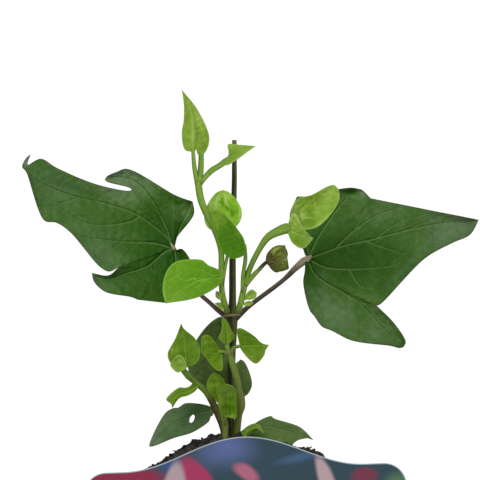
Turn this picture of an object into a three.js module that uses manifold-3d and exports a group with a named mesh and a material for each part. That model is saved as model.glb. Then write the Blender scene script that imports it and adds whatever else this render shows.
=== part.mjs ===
// A young potted clematis in a round nursery pot, with a picture label hung on the rim.
//
// Units are millimetres, +Z is up, and the origin is the centre of the pot's underside.
// The plant faces -Y. Every outline of a leaf is drawn in the upright plane through the
// main stem, as it shows from a point VIEW_DISTANCE in front of it at VIEW_HEIGHT, and the
// leaf then gets its depth. The function seen() puts a drawn point at its depth.
import * as THREE from 'three';
import { mergeVertices } from 'three/addons/utils/BufferGeometryUtils.js';
import Module from 'manifold-3d';

// Driving dimensions of the pot, its soil and its label.
const POT_DIAMETER = 90;
const POT_HEIGHT = 90;
const POT_BASE_DIAMETER = 63;
const POT_WALL = 1.2;
const POT_FLOOR = 1.8;
const RIM_BAND_HEIGHT = 11;
const RIM_BAND_STEP = 1.4;
const DRAIN_HOLE_DIAMETER = 8;
const DRAIN_HOLE_COUNT = 6;
const DRAIN_CIRCLE_RADIUS = 21;
const SOIL_CROWN_HEIGHT = 106.4;
const SOIL_WALL_HEIGHT = 88;
const SOIL_CRUMB = 0.8;
const SOIL_HEAP_DEPTH = 16;
const LABEL_WIDTH = 99.6;
const LABEL_BOTTOM = 12;
const LABEL_SHOULDER = 100.8;
const LABEL_BELL_HEIGHT = 9.6;
const LABEL_BELL_REACH = 37;
const LABEL_CORNER = 7;
const LABEL_THICKNESS = 0.6;
const LABEL_ROLL = THREE.MathUtils.degToRad(2);
const LABEL_OFFSET = 1.4;
const TONGUE_WIDTH = 16;
const TONGUE_DROP = 9;
const TONGUE_SETBACK = 2.5;

// Driving dimensions of the plant.
const BLADE_THICKNESS = 0.7;
const GAP = 0.3;
const ROOT_DEPTH = 30;
const STEM_SIDES = 8;
const VIEW_DISTANCE = 600;
const VIEW_HEIGHT = 171;

const POT_SEGMENTS = 56;
const SOIL_SEGMENTS = 44;
const SOIL_RINGS = 9;

const COLOURS = {
  pot: 0x23262a,
  soil: 0x322d26,
  label: 0x4d6480,
  oldStem: 0x4a4632,
  oldLeaf: 0x3e692d,
  agedLeaf: 0x4a6a40,
  youngShoot: 0x6fa02f,
  bud: 0x73783a,
};

const wasm = await Module();
wasm.setup();

// Solids: from a closed three.js geometry, and back again.

function asSolid(geometry) {
  const bare = geometry.index ? geometry.toNonIndexed() : geometry.clone();
  for (const name of Object.keys(bare.attributes)) {
    if (name !== 'position') bare.deleteAttribute(name);
  }
  const welded = mergeVertices(bare, 1e-4);
  return new wasm.Manifold(new wasm.Mesh({
    numProp: 3,
    vertProperties: new Float32Array(welded.attributes.position.array),
    triVerts: new Uint32Array(welded.index.array),
  }));
}

function largestPiece(solid) {
  const pieces = solid.decompose();
  return pieces.reduce((best, piece) => (piece.volume() > best.volume() ? piece : best));
}

function asGeometry(solid) {
  const mesh = largestPiece(solid).getMesh();
  const geometry = new THREE.BufferGeometry();
  geometry.setAttribute('position', new THREE.BufferAttribute(mesh.vertProperties, 3));
  geometry.setIndex(new THREE.BufferAttribute(mesh.triVerts, 1));
  geometry.computeVertexNormals();
  return geometry;
}

function joined(...solids) {
  return solids.reduce((sum, solid) => sum.add(solid));
}

function cutBy(solid, ...cutters) {
  return cutters.reduce((rest, cutter) => rest.subtract(cutter), solid);
}

// Points: a drawn point (x, z) at depth y, on the line from the viewpoint through the drawing.

function seen(x, z, y) {
  const widening = 1 + y / VIEW_DISTANCE;
  return new THREE.Vector3(x * widening, y, VIEW_HEIGHT + (z - VIEW_HEIGHT) * widening);
}

function flatCurve(points) {
  return new THREE.CatmullRomCurve3(points.map(([x, z]) => new THREE.Vector3(x, 0, z)));
}

// Stems: a tapered tube with closed ends. Each point is [x, z, y, radius].

function tube(points, extraRadius = 0, stepsPerSpan = 2) {
  const centres = points.map(([x, z, y]) => seen(x, z, y));
  const curve = new THREE.CatmullRomCurve3(centres);
  const steps = (points.length - 1) * stepsPerSpan;
  const depthAxis = new THREE.Vector3(0, 1, 0);
  const positions = [];
  const index = [];
  for (let step = 0; step <= steps; step += 1) {
    const along = step / steps;
    const span = Math.min(Math.floor(along * (points.length - 1)), points.length - 2);
    const share = along * (points.length - 1) - span;
    const radius = THREE.MathUtils.lerp(points[span][3], points[span + 1][3], share) + extraRadius;
    const centre = curve.getPoint(along);
    const tangent = curve.getTangent(along);
    const side = new THREE.Vector3().crossVectors(depthAxis, tangent).normalize();
    const front = new THREE.Vector3().crossVectors(tangent, side).normalize();
    for (let k = 0; k < STEM_SIDES; k += 1) {
      const angle = (k / STEM_SIDES) * Math.PI * 2;
      const point = centre.clone();
      point.addScaledVector(side, Math.cos(angle) * radius);
      point.addScaledVector(front, Math.sin(angle) * radius);
      positions.push(...point.toArray());
    }
  }
  for (let step = 0; step < steps; step += 1) {
    for (let k = 0; k < STEM_SIDES; k += 1) {
      const next = (k + 1) % STEM_SIDES;
      const a = step * STEM_SIDES + k;
      const b = step * STEM_SIDES + next;
      index.push(a, b, b + STEM_SIDES, a, b + STEM_SIDES, a + STEM_SIDES);
    }
  }
  const last = steps * STEM_SIDES;
  for (let k = 1; k < STEM_SIDES - 1; k += 1) {
    index.push(0, k + 1, k, last, last + k, last + k + 1);
  }
  return asSolid(geometryOf(positions, index));
}

function geometryOf(positions, index) {
  const geometry = new THREE.BufferGeometry();
  geometry.setAttribute('position', new THREE.Float32BufferAttribute(positions, 3));
  geometry.setIndex(index);
  return geometry;
}

// Leaves. A leaf is a list of veins that fan out from its attachment. A vein has a path
// from the attachment to its lobe's tip, and a margin on each side that runs to the same
// tip. Lines from evenly spaced feet on the vein to points on the margin carry the blade.
// A margin that starts at a notch keeps the first feet, up to the share `from`, on the notch.

function bladeSheet(leaf) {
  const positions = [];
  const index = [];
  const [startX, startZ] = leaf.veins[0].path[0];
  for (const vein of leaf.veins) {
    const path = flatCurve(vein.path);
    for (const [sign, margin] of [[1, vein.left], [-1, vein.right]]) {
      const edge = flatCurve(margin.points);
      const first = positions.length / 3;
      for (let i = 0; i <= vein.feet; i += 1) {
        const along = i / vein.feet;
        const foot = path.getPointAt(along);
        const edgeShare = Math.max(0, (along - margin.from) / (1 - margin.from));
        const rim = edge.getPointAt(edgeShare);
        for (let j = 0; j <= leaf.across; j += 1) {
          const out = j / leaf.across;
          const x = THREE.MathUtils.lerp(foot.x, rim.x, out);
          const z = THREE.MathUtils.lerp(foot.z, rim.z, out);
          const width = Math.hypot(rim.x - foot.x, rim.z - foot.z);
          const y = leaf.depth({ dx: x - startX, dz: z - startZ, out, along, width, sign, vein });
          positions.push(...seen(x, z, y).toArray());
        }
      }
      const row = leaf.across + 1;
      for (let i = 0; i < vein.feet; i += 1) {
        for (let j = 0; j < leaf.across; j += 1) {
          const a = first + i * row + j;
          const quad = [a, a + 1, a + row + 1, a, a + row + 1, a + row];
          index.push(...(sign > 0 ? quad : quad.reverse()));
        }
      }
    }
  }
  return mergeVertices(geometryOf(positions, index), 1e-4);
}

// A thin solid of even thickness on both sides of a sheet, with alike triangles on both faces.
function thickened(sheet, thickness) {
  const source = Array.from(sheet.index.array);
  const index = [];
  for (let i = 0; i < source.length; i += 3) {
    const [a, b, c] = source.slice(i, i + 3);
    if (a !== b && b !== c && c !== a) index.push(a, b, c);
  }
  const clean = new THREE.BufferGeometry();
  clean.setAttribute('position', sheet.attributes.position);
  clean.setIndex(index);
  clean.computeVertexNormals();
  const { position, normal } = clean.attributes;
  const positions = [];
  for (const side of [0.5, -0.5]) {
    for (let i = 0; i < position.count; i += 1) {
      const point = new THREE.Vector3().fromBufferAttribute(position, i);
      const out = new THREE.Vector3().fromBufferAttribute(normal, i);
      positions.push(...point.addScaledVector(out, side * thickness).toArray());
    }
  }
  const edges = new Set();
  for (let i = 0; i < index.length; i += 3) {
    const corners = index.slice(i, i + 3);
    corners.forEach((corner, k) => edges.add(`${corner}_${corners[(k + 1) % 3]}`));
  }
  const solid = [...index];
  const under = position.count;
  for (let i = 0; i < index.length; i += 3) {
    solid.push(index[i] + under, index[i + 2] + under, index[i + 1] + under);
  }
  for (const key of edges) {
    const [a, b] = key.split('_').map(Number);
    if (!edges.has(`${b}_${a}`)) solid.push(b, a, a + under, b, a + under, b + under);
  }
  return asSolid(geometryOf(positions, solid));
}

function bladeSolid(leaf) {
  return thickened(bladeSheet(leaf), BLADE_THICKNESS);
}

// A leaf with one vein. `lean` is depth gained per millimetre across and up, `fold` the
// depth gained per millimetre of half width on the left and the right, `cup` the same for
// the rim alone, and `curl` the depth the tip gains at the end.
function simpleLeaf({ path, left, right, at, lean, fold = [0, 0], cup = 0, curl = 0, feet = 8 }) {
  const start = path[0];
  const tip = path[path.length - 1];
  const side = (points) => ({ from: 0, points: [start, ...points, tip] });
  return bladeSolid({
    across: 3,
    veins: [{ path, feet, left: side(left), right: side(right) }],
    depth: ({ dx, dz, out, along, width, sign }) => {
      const bend = sign > 0 ? fold[0] : fold[1];
      const slope = at + lean[0] * dx + lean[1] * dz;
      return slope + bend * out * width + cup * out * out * width + curl * along ** 3;
    },
  });
}

// Paths of the stems, each point [x, z, y, radius].
const stems = {
  main: [
    [-3, SOIL_CROWN_HEIGHT - ROOT_DEPTH, 0, 1.1], [-3, 105, 0, 1.1], [-3.1, 120, -0.2, 1.15],
    [-2.9, 134, 0, 1.2], [-2.4, 143, 0.4, 1.7], [-2.4, 145.5, 0.6, 2.1], [-2.4, 148, 0.8, 1.35],
    [-2.5, 160, 1.2, 1], [-2.4, 172, 1.6, 0.9], [-1.9, 190, 2.4, 0.8], [-1.9, 204.3, 3, 0.7],
  ],
  leftPetiole: [
    [-3.2, 144.6, 0.8, 1.1], [-6.4, 146.8, 2, 0.85], [-10, 150, 4, 0.75], [-14, 153.6, 6.2, 0.75],
    [-17.6, 158.6, 8, 0.75], [-20.4, 164, 8.4, 0.8], [-22, 168.2, 6.6, 0.9],
  ],
  rightPetiole: [
    [-1.8, 144.6, 0.8, 1.1], [2.7, 148.7, 1.8, 0.75], [8.3, 153.3, 3.2, 0.7], [15, 158.3, 4.8, 0.7],
    [19, 161.9, 5.4, 0.9], [21.4, 163.9, 5.5, 1.35], [23.2, 165.4, 5.9, 0.8],
  ],
  left: [
    [-3.6, 145.2, -0.4, 1.05], [-5.4, 148, -2.4, 0.95], [-6.1, 154, -4.2, 0.95], [-6.3, 161, -6, 0.95],
    [-6.4, 168, -7.8, 0.95], [-8.7, 175, -9.2, 0.9], [-11, 179.4, -10, 0.9], [-13, 184.4, -10.6, 0.9],
    [-14, 190.3, -11, 0.9],
  ],
  right: [
    [-1.6, 145.2, -0.6, 1.05], [-0.4, 148, -2.4, 1.05], [0.9, 153.4, -3.8, 1], [2, 157.7, -4.6, 0.95],
    [3.5, 162, -5.4, 0.85], [6.7, 168.3, -6.2, 0.9], [9.4, 172, -6.4, 1.1], [13.6, 174.2, -6, 1.45],
    [17.6, 174.8, -5.4, 0.9],
  ],
  lowerLeft: [
    [-6.5, 96, -1, 1.1], [-6.7, 106, -1.4, 1.15], [-7.5, 110.6, -2.2, 1.2], [-9.8, 116.8, -4, 1.3],
    [-13.7, 121.5, -6.4, 1.3], [-16.8, 125.2, -8.6, 1.4], [-19, 128.2, -10, 1],
  ],
  lowerRight: [
    [-0.3, 96, -1.4, 1.1], [-0.2, 109, -1.8, 1.15], [-0.2, 116, -2.6, 1.1], [-0.7, 123, -3.8, 1],
    [-2, 130, -5, 0.95], [-4.4, 135.8, -5.6, 0.8],
  ],
  front: [[-4.3, 96, -5, 0.8], [-4.8, 106, -5.6, 0.85], [-5.2, 110, -6.4, 0.85], [-5, 113.6, -7.8, 0.7]],
  oldLeafRight: [[3.2, 98, -1.6, 0.6], [3.6, 106, -1.9, 0.6], [4.8, 108.6, -2, 0.55], [7, 109, -2.2, 0.5]],
  sprout: [[1.6, 98, -6, 0.7], [1.6, 105.6, -6, 0.7], [2.6, 108, -6.6, 0.7]],
};
const mainParts = [stems.main, stems.leftPetiole, stems.rightPetiole];
const mainStem = joined(...mainParts.map((points) => tube(points)));
const mainClearance = joined(...mainParts.map((points) => tube(points, GAP)));

// The pot is turned: a tapered wall with a band at the rim, a floor, and holes to drain it.

const POT_RADIUS = POT_DIAMETER / 2;
const RIM_BAND_BOTTOM = POT_HEIGHT - RIM_BAND_HEIGHT;
const WALL_TOP_RADIUS = POT_RADIUS - RIM_BAND_STEP;
const WALL_BASE_RADIUS = POT_BASE_DIAMETER / 2;

function potInnerRadius(height) {
  const share = (height - POT_FLOOR) / (RIM_BAND_BOTTOM - POT_FLOOR);
  return THREE.MathUtils.lerp(WALL_BASE_RADIUS, WALL_TOP_RADIUS, share) - POT_WALL;
}

function pot() {
  const edge = 0.6;
  const step = 1;
  const profile = [
    [0, 0], [WALL_BASE_RADIUS - step, 0], [WALL_BASE_RADIUS, step], [WALL_TOP_RADIUS, RIM_BAND_BOTTOM],
    [POT_RADIUS - edge, RIM_BAND_BOTTOM], [POT_RADIUS, RIM_BAND_BOTTOM + edge],
    [POT_RADIUS, POT_HEIGHT - edge], [POT_RADIUS - edge, POT_HEIGHT],
    [POT_RADIUS - POT_WALL, POT_HEIGHT], [POT_RADIUS - POT_WALL, RIM_BAND_BOTTOM + step],
    [potInnerRadius(RIM_BAND_BOTTOM - step), RIM_BAND_BOTTOM - step],
    [potInnerRadius(POT_FLOOR), POT_FLOOR], [0, POT_FLOOR],
  ];
  const points = profile.map(([radius, height]) => new THREE.Vector2(radius, height));
  const turned = new THREE.LatheGeometry(points, POT_SEGMENTS).rotateX(Math.PI / 2);
  const holes = [];
  for (let k = 0; k < DRAIN_HOLE_COUNT; k += 1) {
    const angle = ((k + 0.5) / DRAIN_HOLE_COUNT) * Math.PI * 2;
    const radius = DRAIN_HOLE_DIAMETER / 2;
    const drill = new THREE.CylinderGeometry(radius, radius, POT_FLOOR * 4, 16);
    drill.rotateX(Math.PI / 2);
    drill.translate(Math.cos(angle) * DRAIN_CIRCLE_RADIUS, Math.sin(angle) * DRAIN_CIRCLE_RADIUS, 0);
    holes.push(asSolid(drill));
  }
  return cutBy(asSolid(turned), ...holes);
}

// The soil fills the pot and stands above the rim in a crumbly mound.

function soilHeight(x, y) {
  const radius = Math.hypot(x, y);
  const reach = potInnerRadius(SOIL_WALL_HEIGHT - RIM_BAND_HEIGHT);
  const drop = Math.min(1, radius / reach) ** 1.6;
  const mound = SOIL_WALL_HEIGHT + (SOIL_CROWN_HEIGHT - SOIL_WALL_HEIGHT) * (1 - drop);
  const heap = (centreX, spread, height) => {
    const away = ((x - centreX) / spread) ** 2 + (y / SOIL_HEAP_DEPTH) ** 2;
    return height * Math.exp(-away);
  };
  const crumbs = Math.sin(x * 0.9 + y * 0.4) * Math.cos(y * 1.1 - x * 0.3) + Math.sin(x * 0.37 - y * 0.61);
  return mound + heap(-16, 9, 1.4) + heap(26, 4, 2) + (crumbs * SOIL_CRUMB) / 2;
}

function soil() {
  const positions = [];
  const index = [];
  const rimRadius = potInnerRadius(RIM_BAND_BOTTOM - 1) - GAP;
  const floor = POT_FLOOR + GAP;
  const ring = (radius, heightAt) => {
    for (let k = 0; k < SOIL_SEGMENTS; k += 1) {
      const angle = (k / SOIL_SEGMENTS) * Math.PI * 2;
      const x = Math.cos(angle) * radius;
      const y = Math.sin(angle) * radius;
      positions.push(x, y, heightAt(x, y));
    }
  };
  ring(potInnerRadius(floor) - GAP, () => floor);
  ring(rimRadius, () => RIM_BAND_BOTTOM - 1);
  for (let step = 0; step < SOIL_RINGS; step += 1) {
    ring(rimRadius * (1 - step / SOIL_RINGS) ** 0.9, soilHeight);
  }
  const rows = SOIL_RINGS + 2;
  for (let row = 0; row < rows - 1; row += 1) {
    for (let k = 0; k < SOIL_SEGMENTS; k += 1) {
      const a = row * SOIL_SEGMENTS + k;
      const b = row * SOIL_SEGMENTS + ((k + 1) % SOIL_SEGMENTS);
      index.push(a, b, b + SOIL_SEGMENTS, a, b + SOIL_SEGMENTS, a + SOIL_SEGMENTS);
    }
  }
  const bottom = positions.length / 3;
  positions.push(0, 0, floor, 0, 0, soilHeight(0, 0));
  const top = bottom + 1;
  const lastRow = (rows - 1) * SOIL_SEGMENTS;
  for (let k = 0; k < SOIL_SEGMENTS; k += 1) {
    const next = (k + 1) % SOIL_SEGMENTS;
    index.push(bottom, next, k, top, lastRow + k, lastRow + next);
  }
  return asSolid(geometryOf(positions, index));
}

// The label is a flat card with a bell-shaped top. A tongue on its back hooks over the rim.

function labelTop(x) {
  const reach = Math.min(1, Math.abs(x) / LABEL_BELL_REACH);
  return LABEL_SHOULDER + LABEL_BELL_HEIGHT * 0.5 * (1 + Math.cos(Math.PI * reach));
}

function box(x0, x1, y0, y1, z0, z1) {
  const geometry = new THREE.BoxGeometry(x1 - x0, y1 - y0, z1 - z0);
  geometry.translate((x0 + x1) / 2, (y0 + y1) / 2, (z0 + z1) / 2);
  return geometry;
}

const LABEL_BACK = -POT_RADIUS - GAP;
const TONGUE_BACK = -POT_RADIUS + TONGUE_SETBACK;

function label() {
  const half = LABEL_WIDTH / 2;
  const shape = new THREE.Shape();
  shape.moveTo(-half + LABEL_CORNER, LABEL_BOTTOM);
  shape.lineTo(half - LABEL_CORNER, LABEL_BOTTOM);
  shape.absarc(half - LABEL_CORNER, LABEL_BOTTOM + LABEL_CORNER, LABEL_CORNER, -Math.PI / 2, 0);
  shape.absarc(half - LABEL_CORNER, LABEL_SHOULDER - LABEL_CORNER, LABEL_CORNER, 0, Math.PI / 2);
  const bellSteps = 20;
  for (let step = 0; step <= bellSteps; step += 1) {
    const x = LABEL_BELL_REACH * (1 - (2 * step) / bellSteps);
    shape.lineTo(x, labelTop(x));
  }
  shape.absarc(-half + LABEL_CORNER, LABEL_SHOULDER - LABEL_CORNER, LABEL_CORNER, Math.PI / 2, Math.PI);
  shape.absarc(-half + LABEL_CORNER, LABEL_BOTTOM + LABEL_CORNER, LABEL_CORNER, Math.PI, Math.PI * 1.5);
  const card = new THREE.ExtrudeGeometry(shape, {
    depth: LABEL_THICKNESS, bevelEnabled: false, curveSegments: 5,
  });
  card.translate(0, -LABEL_SHOULDER, 0);
  card.rotateZ(LABEL_ROLL);
  card.translate(0, LABEL_SHOULDER, 0);
  card.rotateX(Math.PI / 2);
  card.translate(LABEL_OFFSET, LABEL_BACK, 0);
  const left = LABEL_OFFSET - TONGUE_WIDTH / 2;
  const right = LABEL_OFFSET + TONGUE_WIDTH / 2;
  const fold = POT_HEIGHT + GAP;
  const back = TONGUE_BACK + LABEL_THICKNESS;
  const sunk = LABEL_THICKNESS / 3;
  const over = box(left, right, LABEL_BACK - sunk, back, fold, fold + LABEL_THICKNESS);
  const down = box(left, right, TONGUE_BACK, back, fold - TONGUE_DROP, fold + sunk);
  return joined(asSolid(card), asSolid(over), asSolid(down));
}

// The two old leaves have lobes, so several veins fan out from each attachment.

const LOBE_RISE = 2.4;

function lobedDepth(at, lean, rimRise, tipCurl) {
  return ({ dx, dz, out, along, width, vein }) => {
    const open = THREE.MathUtils.smoothstep(width, 0, LOBE_RISE);
    const curl = vein.long ? tipCurl * THREE.MathUtils.smoothstep(along, 0.8, 1) ** 2 : 0;
    return at + lean[0] * dx + lean[1] * dz + rimRise * out * out * open + curl;
  };
}

function bigLeafLeft() {
  const base = [-22, 168.3];
  const lobeTip = [-15.6, 184];
  const fingerTip = [-45.2, 191];
  const tip = [-70.2, 199.4];
  const lowTip = [-49.2, 159.4];
  const heelTip = [-24, 150];
  const topBay = [-21.7, 186];
  const upperNotch = [-36.3, 187.8];
  const lowerNotch = [-40.3, 162];
  const lowBay = [-34, 151.2];
  return {
    across: 3,
    depth: lobedDepth(6, [0.12, 0.45], -2, 4),
    veins: [
      {
        feet: 4,
        path: [base, [-20.7, 173], [-18.8, 178], lobeTip],
        left: { from: 0.5, points: [topBay, [-19, 185], lobeTip] },
        right: { from: 0, points: [base, [-19.8, 172.3], [-16.8, 177], [-15.5, 180.8], lobeTip] },
      },
      {
        feet: 8,
        path: [base, [-25, 176], [-28.8, 182.8], [-34, 188.6], [-39, 191.6], fingerTip],
        left: { from: 0.55, points: [upperNotch, [-40.7, 189.5], fingerTip] },
        right: {
          from: 0.3,
          points: [topBay, [-26.7, 189], [-33.3, 192.8], [-37.6, 194.8], [-41, 193.8], fingerTip],
        },
      },
      {
        feet: 14,
        long: true,
        path: [
          base, [-26.7, 173.3], [-36.7, 180.7], [-50, 184.3], [-63.3, 188.3], [-69.4, 192.4],
          [-71.5, 196], tip,
        ],
        left: {
          from: 0.3,
          points: [
            lowerNotch, [-43.4, 160.6], [-47.3, 162.7], [-54, 171], [-58.7, 175.8], [-64.8, 177.4],
            [-67, 180.4], [-69.7, 187.7], [-71.6, 193.4], [-73, 195.8], [-71.9, 198], tip,
          ],
        },
        right: {
          from: 0.34,
          points: [
            upperNotch, [-41.7, 188.1], [-48.3, 189.8], [-58.3, 194], [-64.4, 197.3], [-67.6, 197.6],
            [-70.6, 196.6], tip,
          ],
        },
      },
      {
        feet: 7,
        path: [base, [-26.7, 166.3], [-34, 162], [-41.5, 158.4], lowTip],
        left: {
          from: 0.5,
          points: [lowBay, [-38.3, 152.7], [-44, 153.4], [-48.2, 156.4], lowTip],
        },
        right: { from: 0.62, points: [lowerNotch, [-43, 159.6], [-46.2, 159.7], lowTip] },
      },
      {
        feet: 5,
        path: [base, [-21.6, 162], [-22.4, 156], heelTip],
        left: {
          from: 0,
          points: [base, [-18.4, 167.3], [-16, 162.8], [-16.7, 157.6], [-19.4, 153], heelTip],
        },
        right: { from: 0.5, points: [lowBay, [-29.6, 150.6], heelTip] },
      },
    ],
  };
}

function bigLeafRight() {
  const base = [22.7, 165];
  const heelTip = [19.4, 185];
  const upperTip = [39, 188.4];
  const tip = [79.6, 177.8];
  const lowTip = [54.4, 135.2];
  const topBay = [26.5, 186.2];
  const upperBay = [43.6, 184.9];
  const notch = [46.4, 149.6];
  return {
    across: 3,
    depth: lobedDepth(6, [0.1, 0.42], -2, 3),
    veins: [
      {
        feet: 5,
        path: [base, [21, 172], [19.6, 179], heelTip],
        left: { from: 0, points: [base, [21, 168.6], [18, 174], [16.6, 180], heelTip] },
        right: { from: 0.5, points: [topBay, [22.5, 186], heelTip] },
      },
      {
        feet: 7,
        path: [base, [26, 171.7], [30.6, 179], upperTip],
        left: { from: 0.4, points: [topBay, [33, 187.7], upperTip] },
        right: { from: 0.7, points: [upperBay, [41.8, 186.4], [40.6, 187.7], upperTip] },
      },
      {
        feet: 14,
        long: true,
        path: [base, [33.3, 168.7], [46.7, 172], [57, 175.6], [68, 177], tip],
        left: {
          from: 0.2,
          points: [upperBay, [50, 183.5], [56.7, 181.8], [66, 180.5], tip],
        },
        right: {
          from: 0.3,
          points: [
            notch, [50, 152.7], [56.7, 160.3], [61.4, 165.1], [68.3, 169], [75.2, 172.4],
            [77.6, 175], tip,
          ],
        },
      },
      {
        feet: 10,
        path: [base, [28.3, 156.7], [37.3, 151], [43.4, 146], [48.6, 140.6], lowTip],
        left: {
          from: 0.5,
          points: [notch, [48.4, 146.4], [52.3, 142.7], [54.7, 138.6], [55.3, 136.2], lowTip],
        },
        right: {
          from: 0,
          points: [
            base, [21.5, 158.7], [22.4, 150], [26.4, 143], [32.7, 140], [38, 137.4], [48.3, 136.2],
            lowTip,
          ],
        },
      },
    ],
  };
}

// The left shoot: a stem with two young leaves at its tip, an arrow-shaped one held out to
// the right, a round crumpled one, and a broad one below that hangs to the front.

function leftShoot() {
  const topLeft = [
    tube([[-14, 189.6, -11, 0.9], [-15, 194.3, -12, 0.75], [-15.6, 200.8, -12.8, 0.55]]),
    simpleLeaf({
      path: [[-15.5, 199.6], [-15.8, 206], [-16.6, 212.6], [-19.2, 221.7]],
      left: [[-17.9, 200.8], [-19.2, 204], [-19.1, 208.8], [-18.8, 213.6], [-19, 218]],
      right: [[-14.2, 203], [-14, 207.6], [-15.4, 213.6], [-17.6, 218.6]],
      at: -12.8, lean: [0.2, 0.06], fold: [0.8, 0.9],
    }),
  ];
  const topRight = [
    tube([[-14, 189.6, -11, 0.9], [-13.4, 194.3, -10.2, 0.75], [-13, 200.2, -9, 0.6]]),
    simpleLeaf({
      path: [[-13, 199], [-13, 206], [-14.8, 213], [-18.9, 221.2]],
      left: [[-15, 203], [-15.8, 208], [-17, 214], [-18.6, 218.8]],
      right: [[-11.4, 200.8], [-10.2, 204.6], [-11.4, 208.8], [-13.6, 213.7], [-16.6, 217.8]],
      at: -9, lean: [0.1, -0.04], fold: [0.5, -0.6],
    }),
  ];
  const arrow = [
    tube([
      [-13.8, 189, -10.9, 0.8], [-12, 191.5, -10.4, 0.8], [-9.4, 194.4, -8.6, 0.85],
      [-6.2, 196.2, -6.6, 0.85], [-2.8, 199.3, -5, 0.7],
    ]),
    simpleLeaf({
      path: [[-3.4, 199.2], [-0.6, 201], [5, 202.6]],
      left: [[-4.4, 201.4], [-3.8, 203], [-1, 203.1], [2.4, 202.9]],
      right: [[-1.4, 198.2], [0.4, 199.2], [1.8, 200.4], [3.4, 201.7]],
      at: -5, lean: [-0.5, 0.3], fold: [0.3, -0.5], feet: 6,
    }),
  ];
  const round = [
    tube([
      [-5.9, 156, -5, 0.6], [-5, 161.7, -6.2, 0.55], [-4.2, 166, -6.4, 0.5], [-4, 171, -5.8, 0.5],
      [-4.2, 175.6, -4.8, 0.4],
    ]),
    simpleLeaf({
      path: [[-4.3, 174.4], [-4.6, 179], [-5.2, 183.6], [-5.7, 187.7]],
      left: [[-8.4, 174.1], [-11, 175.8], [-12, 178.8], [-11.2, 182.4], [-9, 185.7]],
      right: [[-1.2, 175.6], [0.6, 178.8], [0.2, 181.4], [-1.4, 184], [-3.3, 186.3]],
      at: -4.6, lean: [0.1, 0.12], cup: -0.2,
    }),
  ];
  const broad = simpleLeaf({
    path: [[-6.5, 158.6], [-12, 158], [-19, 155.2], [-24.8, 149.8]],
    left: [[-6.8, 156.5], [-9.3, 154.3], [-15, 151.7], [-20.6, 150.3]],
    right: [
      [-7.2, 161.3], [-11.4, 162.6], [-16.6, 164.7], [-21, 163.7], [-24.4, 160.6], [-25.7, 155.6],
    ],
    at: -6.2, lean: [0.55, 0.2], cup: 0.1, feet: 10,
  });
  const scale = simpleLeaf({
    path: [[-6.4, 151.4], [-7.6, 152.6], [-8, 154]],
    left: [[-8.2, 152.2]],
    right: [[-6.6, 153.2]],
    at: -4.2, lean: [0.3, 0], feet: 3,
  });
  const stem = tube(stems.left);
  return cutBy(joined(stem, ...topLeft, ...topRight, ...arrow, ...round, broad, scale), mainClearance);
}

// The right shoot: a stem with a smooth tongue-shaped leaf to the left, a cupped pale leaf
// with a lower lobe at its end, a spoon-shaped leaflet at its foot, and the stalk of the bud.

const BUD_STALK = [[1.8, 156, -4.4, 0.85], [4, 158.7, -6, 0.8], [6, 160.8, -7.6, 0.7]];
const BUD_STALK_END = [[6.3, 161.1, -7.9, 0.7], [8, 162.9, -9.2, 0.6], [10.4, 164.8, -10.6, 0.55]];

function rightShoot() {
  const tongue = [
    tube([
      [0.9, 153.4, -4, 0.7], [1, 159, -5.8, 0.65], [1.8, 164.6, -7.8, 0.65], [1.7, 169.6, -9, 0.5],
    ]),
    simpleLeaf({
      path: [[1.9, 168.9], [-1.6, 170.8], [-5.4, 174.6], [-9.3, 180]],
      left: [[2, 166.6], [-0.2, 165.1], [-3.4, 165], [-6.2, 167.8], [-7.8, 172.6], [-8.8, 176.6]],
      right: [[1.4, 171.4], [-0.4, 174.2], [-4, 178.4], [-6.8, 180.6]],
      at: -9, lean: [0.18, -0.06], cup: -0.15,
    }),
  ];
  const cupped = simpleLeaf({
    path: [[17, 174.9], [21, 178], [26, 182.6], [31.3, 189.5]],
    left: [[16.5, 178], [17.3, 182.7], [20.4, 185.4], [24, 186], [28.4, 188.6]],
    right: [[20, 173.9], [24, 174.8], [28.5, 177.3], [31.6, 180.4], [33.2, 184], [32.7, 188.2]],
    at: -5.4, lean: [-0.12, 0.1], cup: -0.4, feet: 10,
  });
  const lobe = simpleLeaf({
    path: [[16.8, 174.6], [20, 172.2], [24.5, 171.7]],
    left: [[16.5, 172], [18.2, 169.4], [21, 168.4], [23.3, 170]],
    right: [[19.6, 174.8], [22, 174.2], [23.4, 172.8]],
    at: -5.6, lean: [0, 0.5], cup: -0.15, feet: 6,
  });
  const spoon = [
    tube([[0.4, 150.8, -3.2, 0.5], [2.6, 151.8, -4.6, 0.45]]),
    simpleLeaf({
      path: [[1.6, 151.4], [3.6, 152.6], [5.6, 153.4]],
      left: [[2.2, 153.2], [4, 154.5]],
      right: [[3, 151], [5.2, 151.8]],
      at: -4.4, lean: [-0.5, 0.1], cup: -0.3, feet: 4,
    }),
  ];
  const scale = simpleLeaf({
    path: [[0, 149.4], [2.4, 149.8], [4.6, 150.1]],
    left: [[2.8, 150.7]],
    right: [[3, 149]],
    at: -3, lean: [-0.4, 0], feet: 3,
  });
  const stalk = tube(BUD_STALK);
  return cutBy(joined(tube(stems.right), ...tongue, cupped, lobe, ...spoon, scale, stalk), mainClearance);
}

// The bud: overlapping scales round a short axis, open at the tip, on the end of its stalk.

const BUD_CENTRE = [12.6, 164.8, -11];
const BUD_HALF_LENGTH = 3.7;
const BUD_HALF_WIDTH = 4.4;
const BUD_SCALES = 3;

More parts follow.
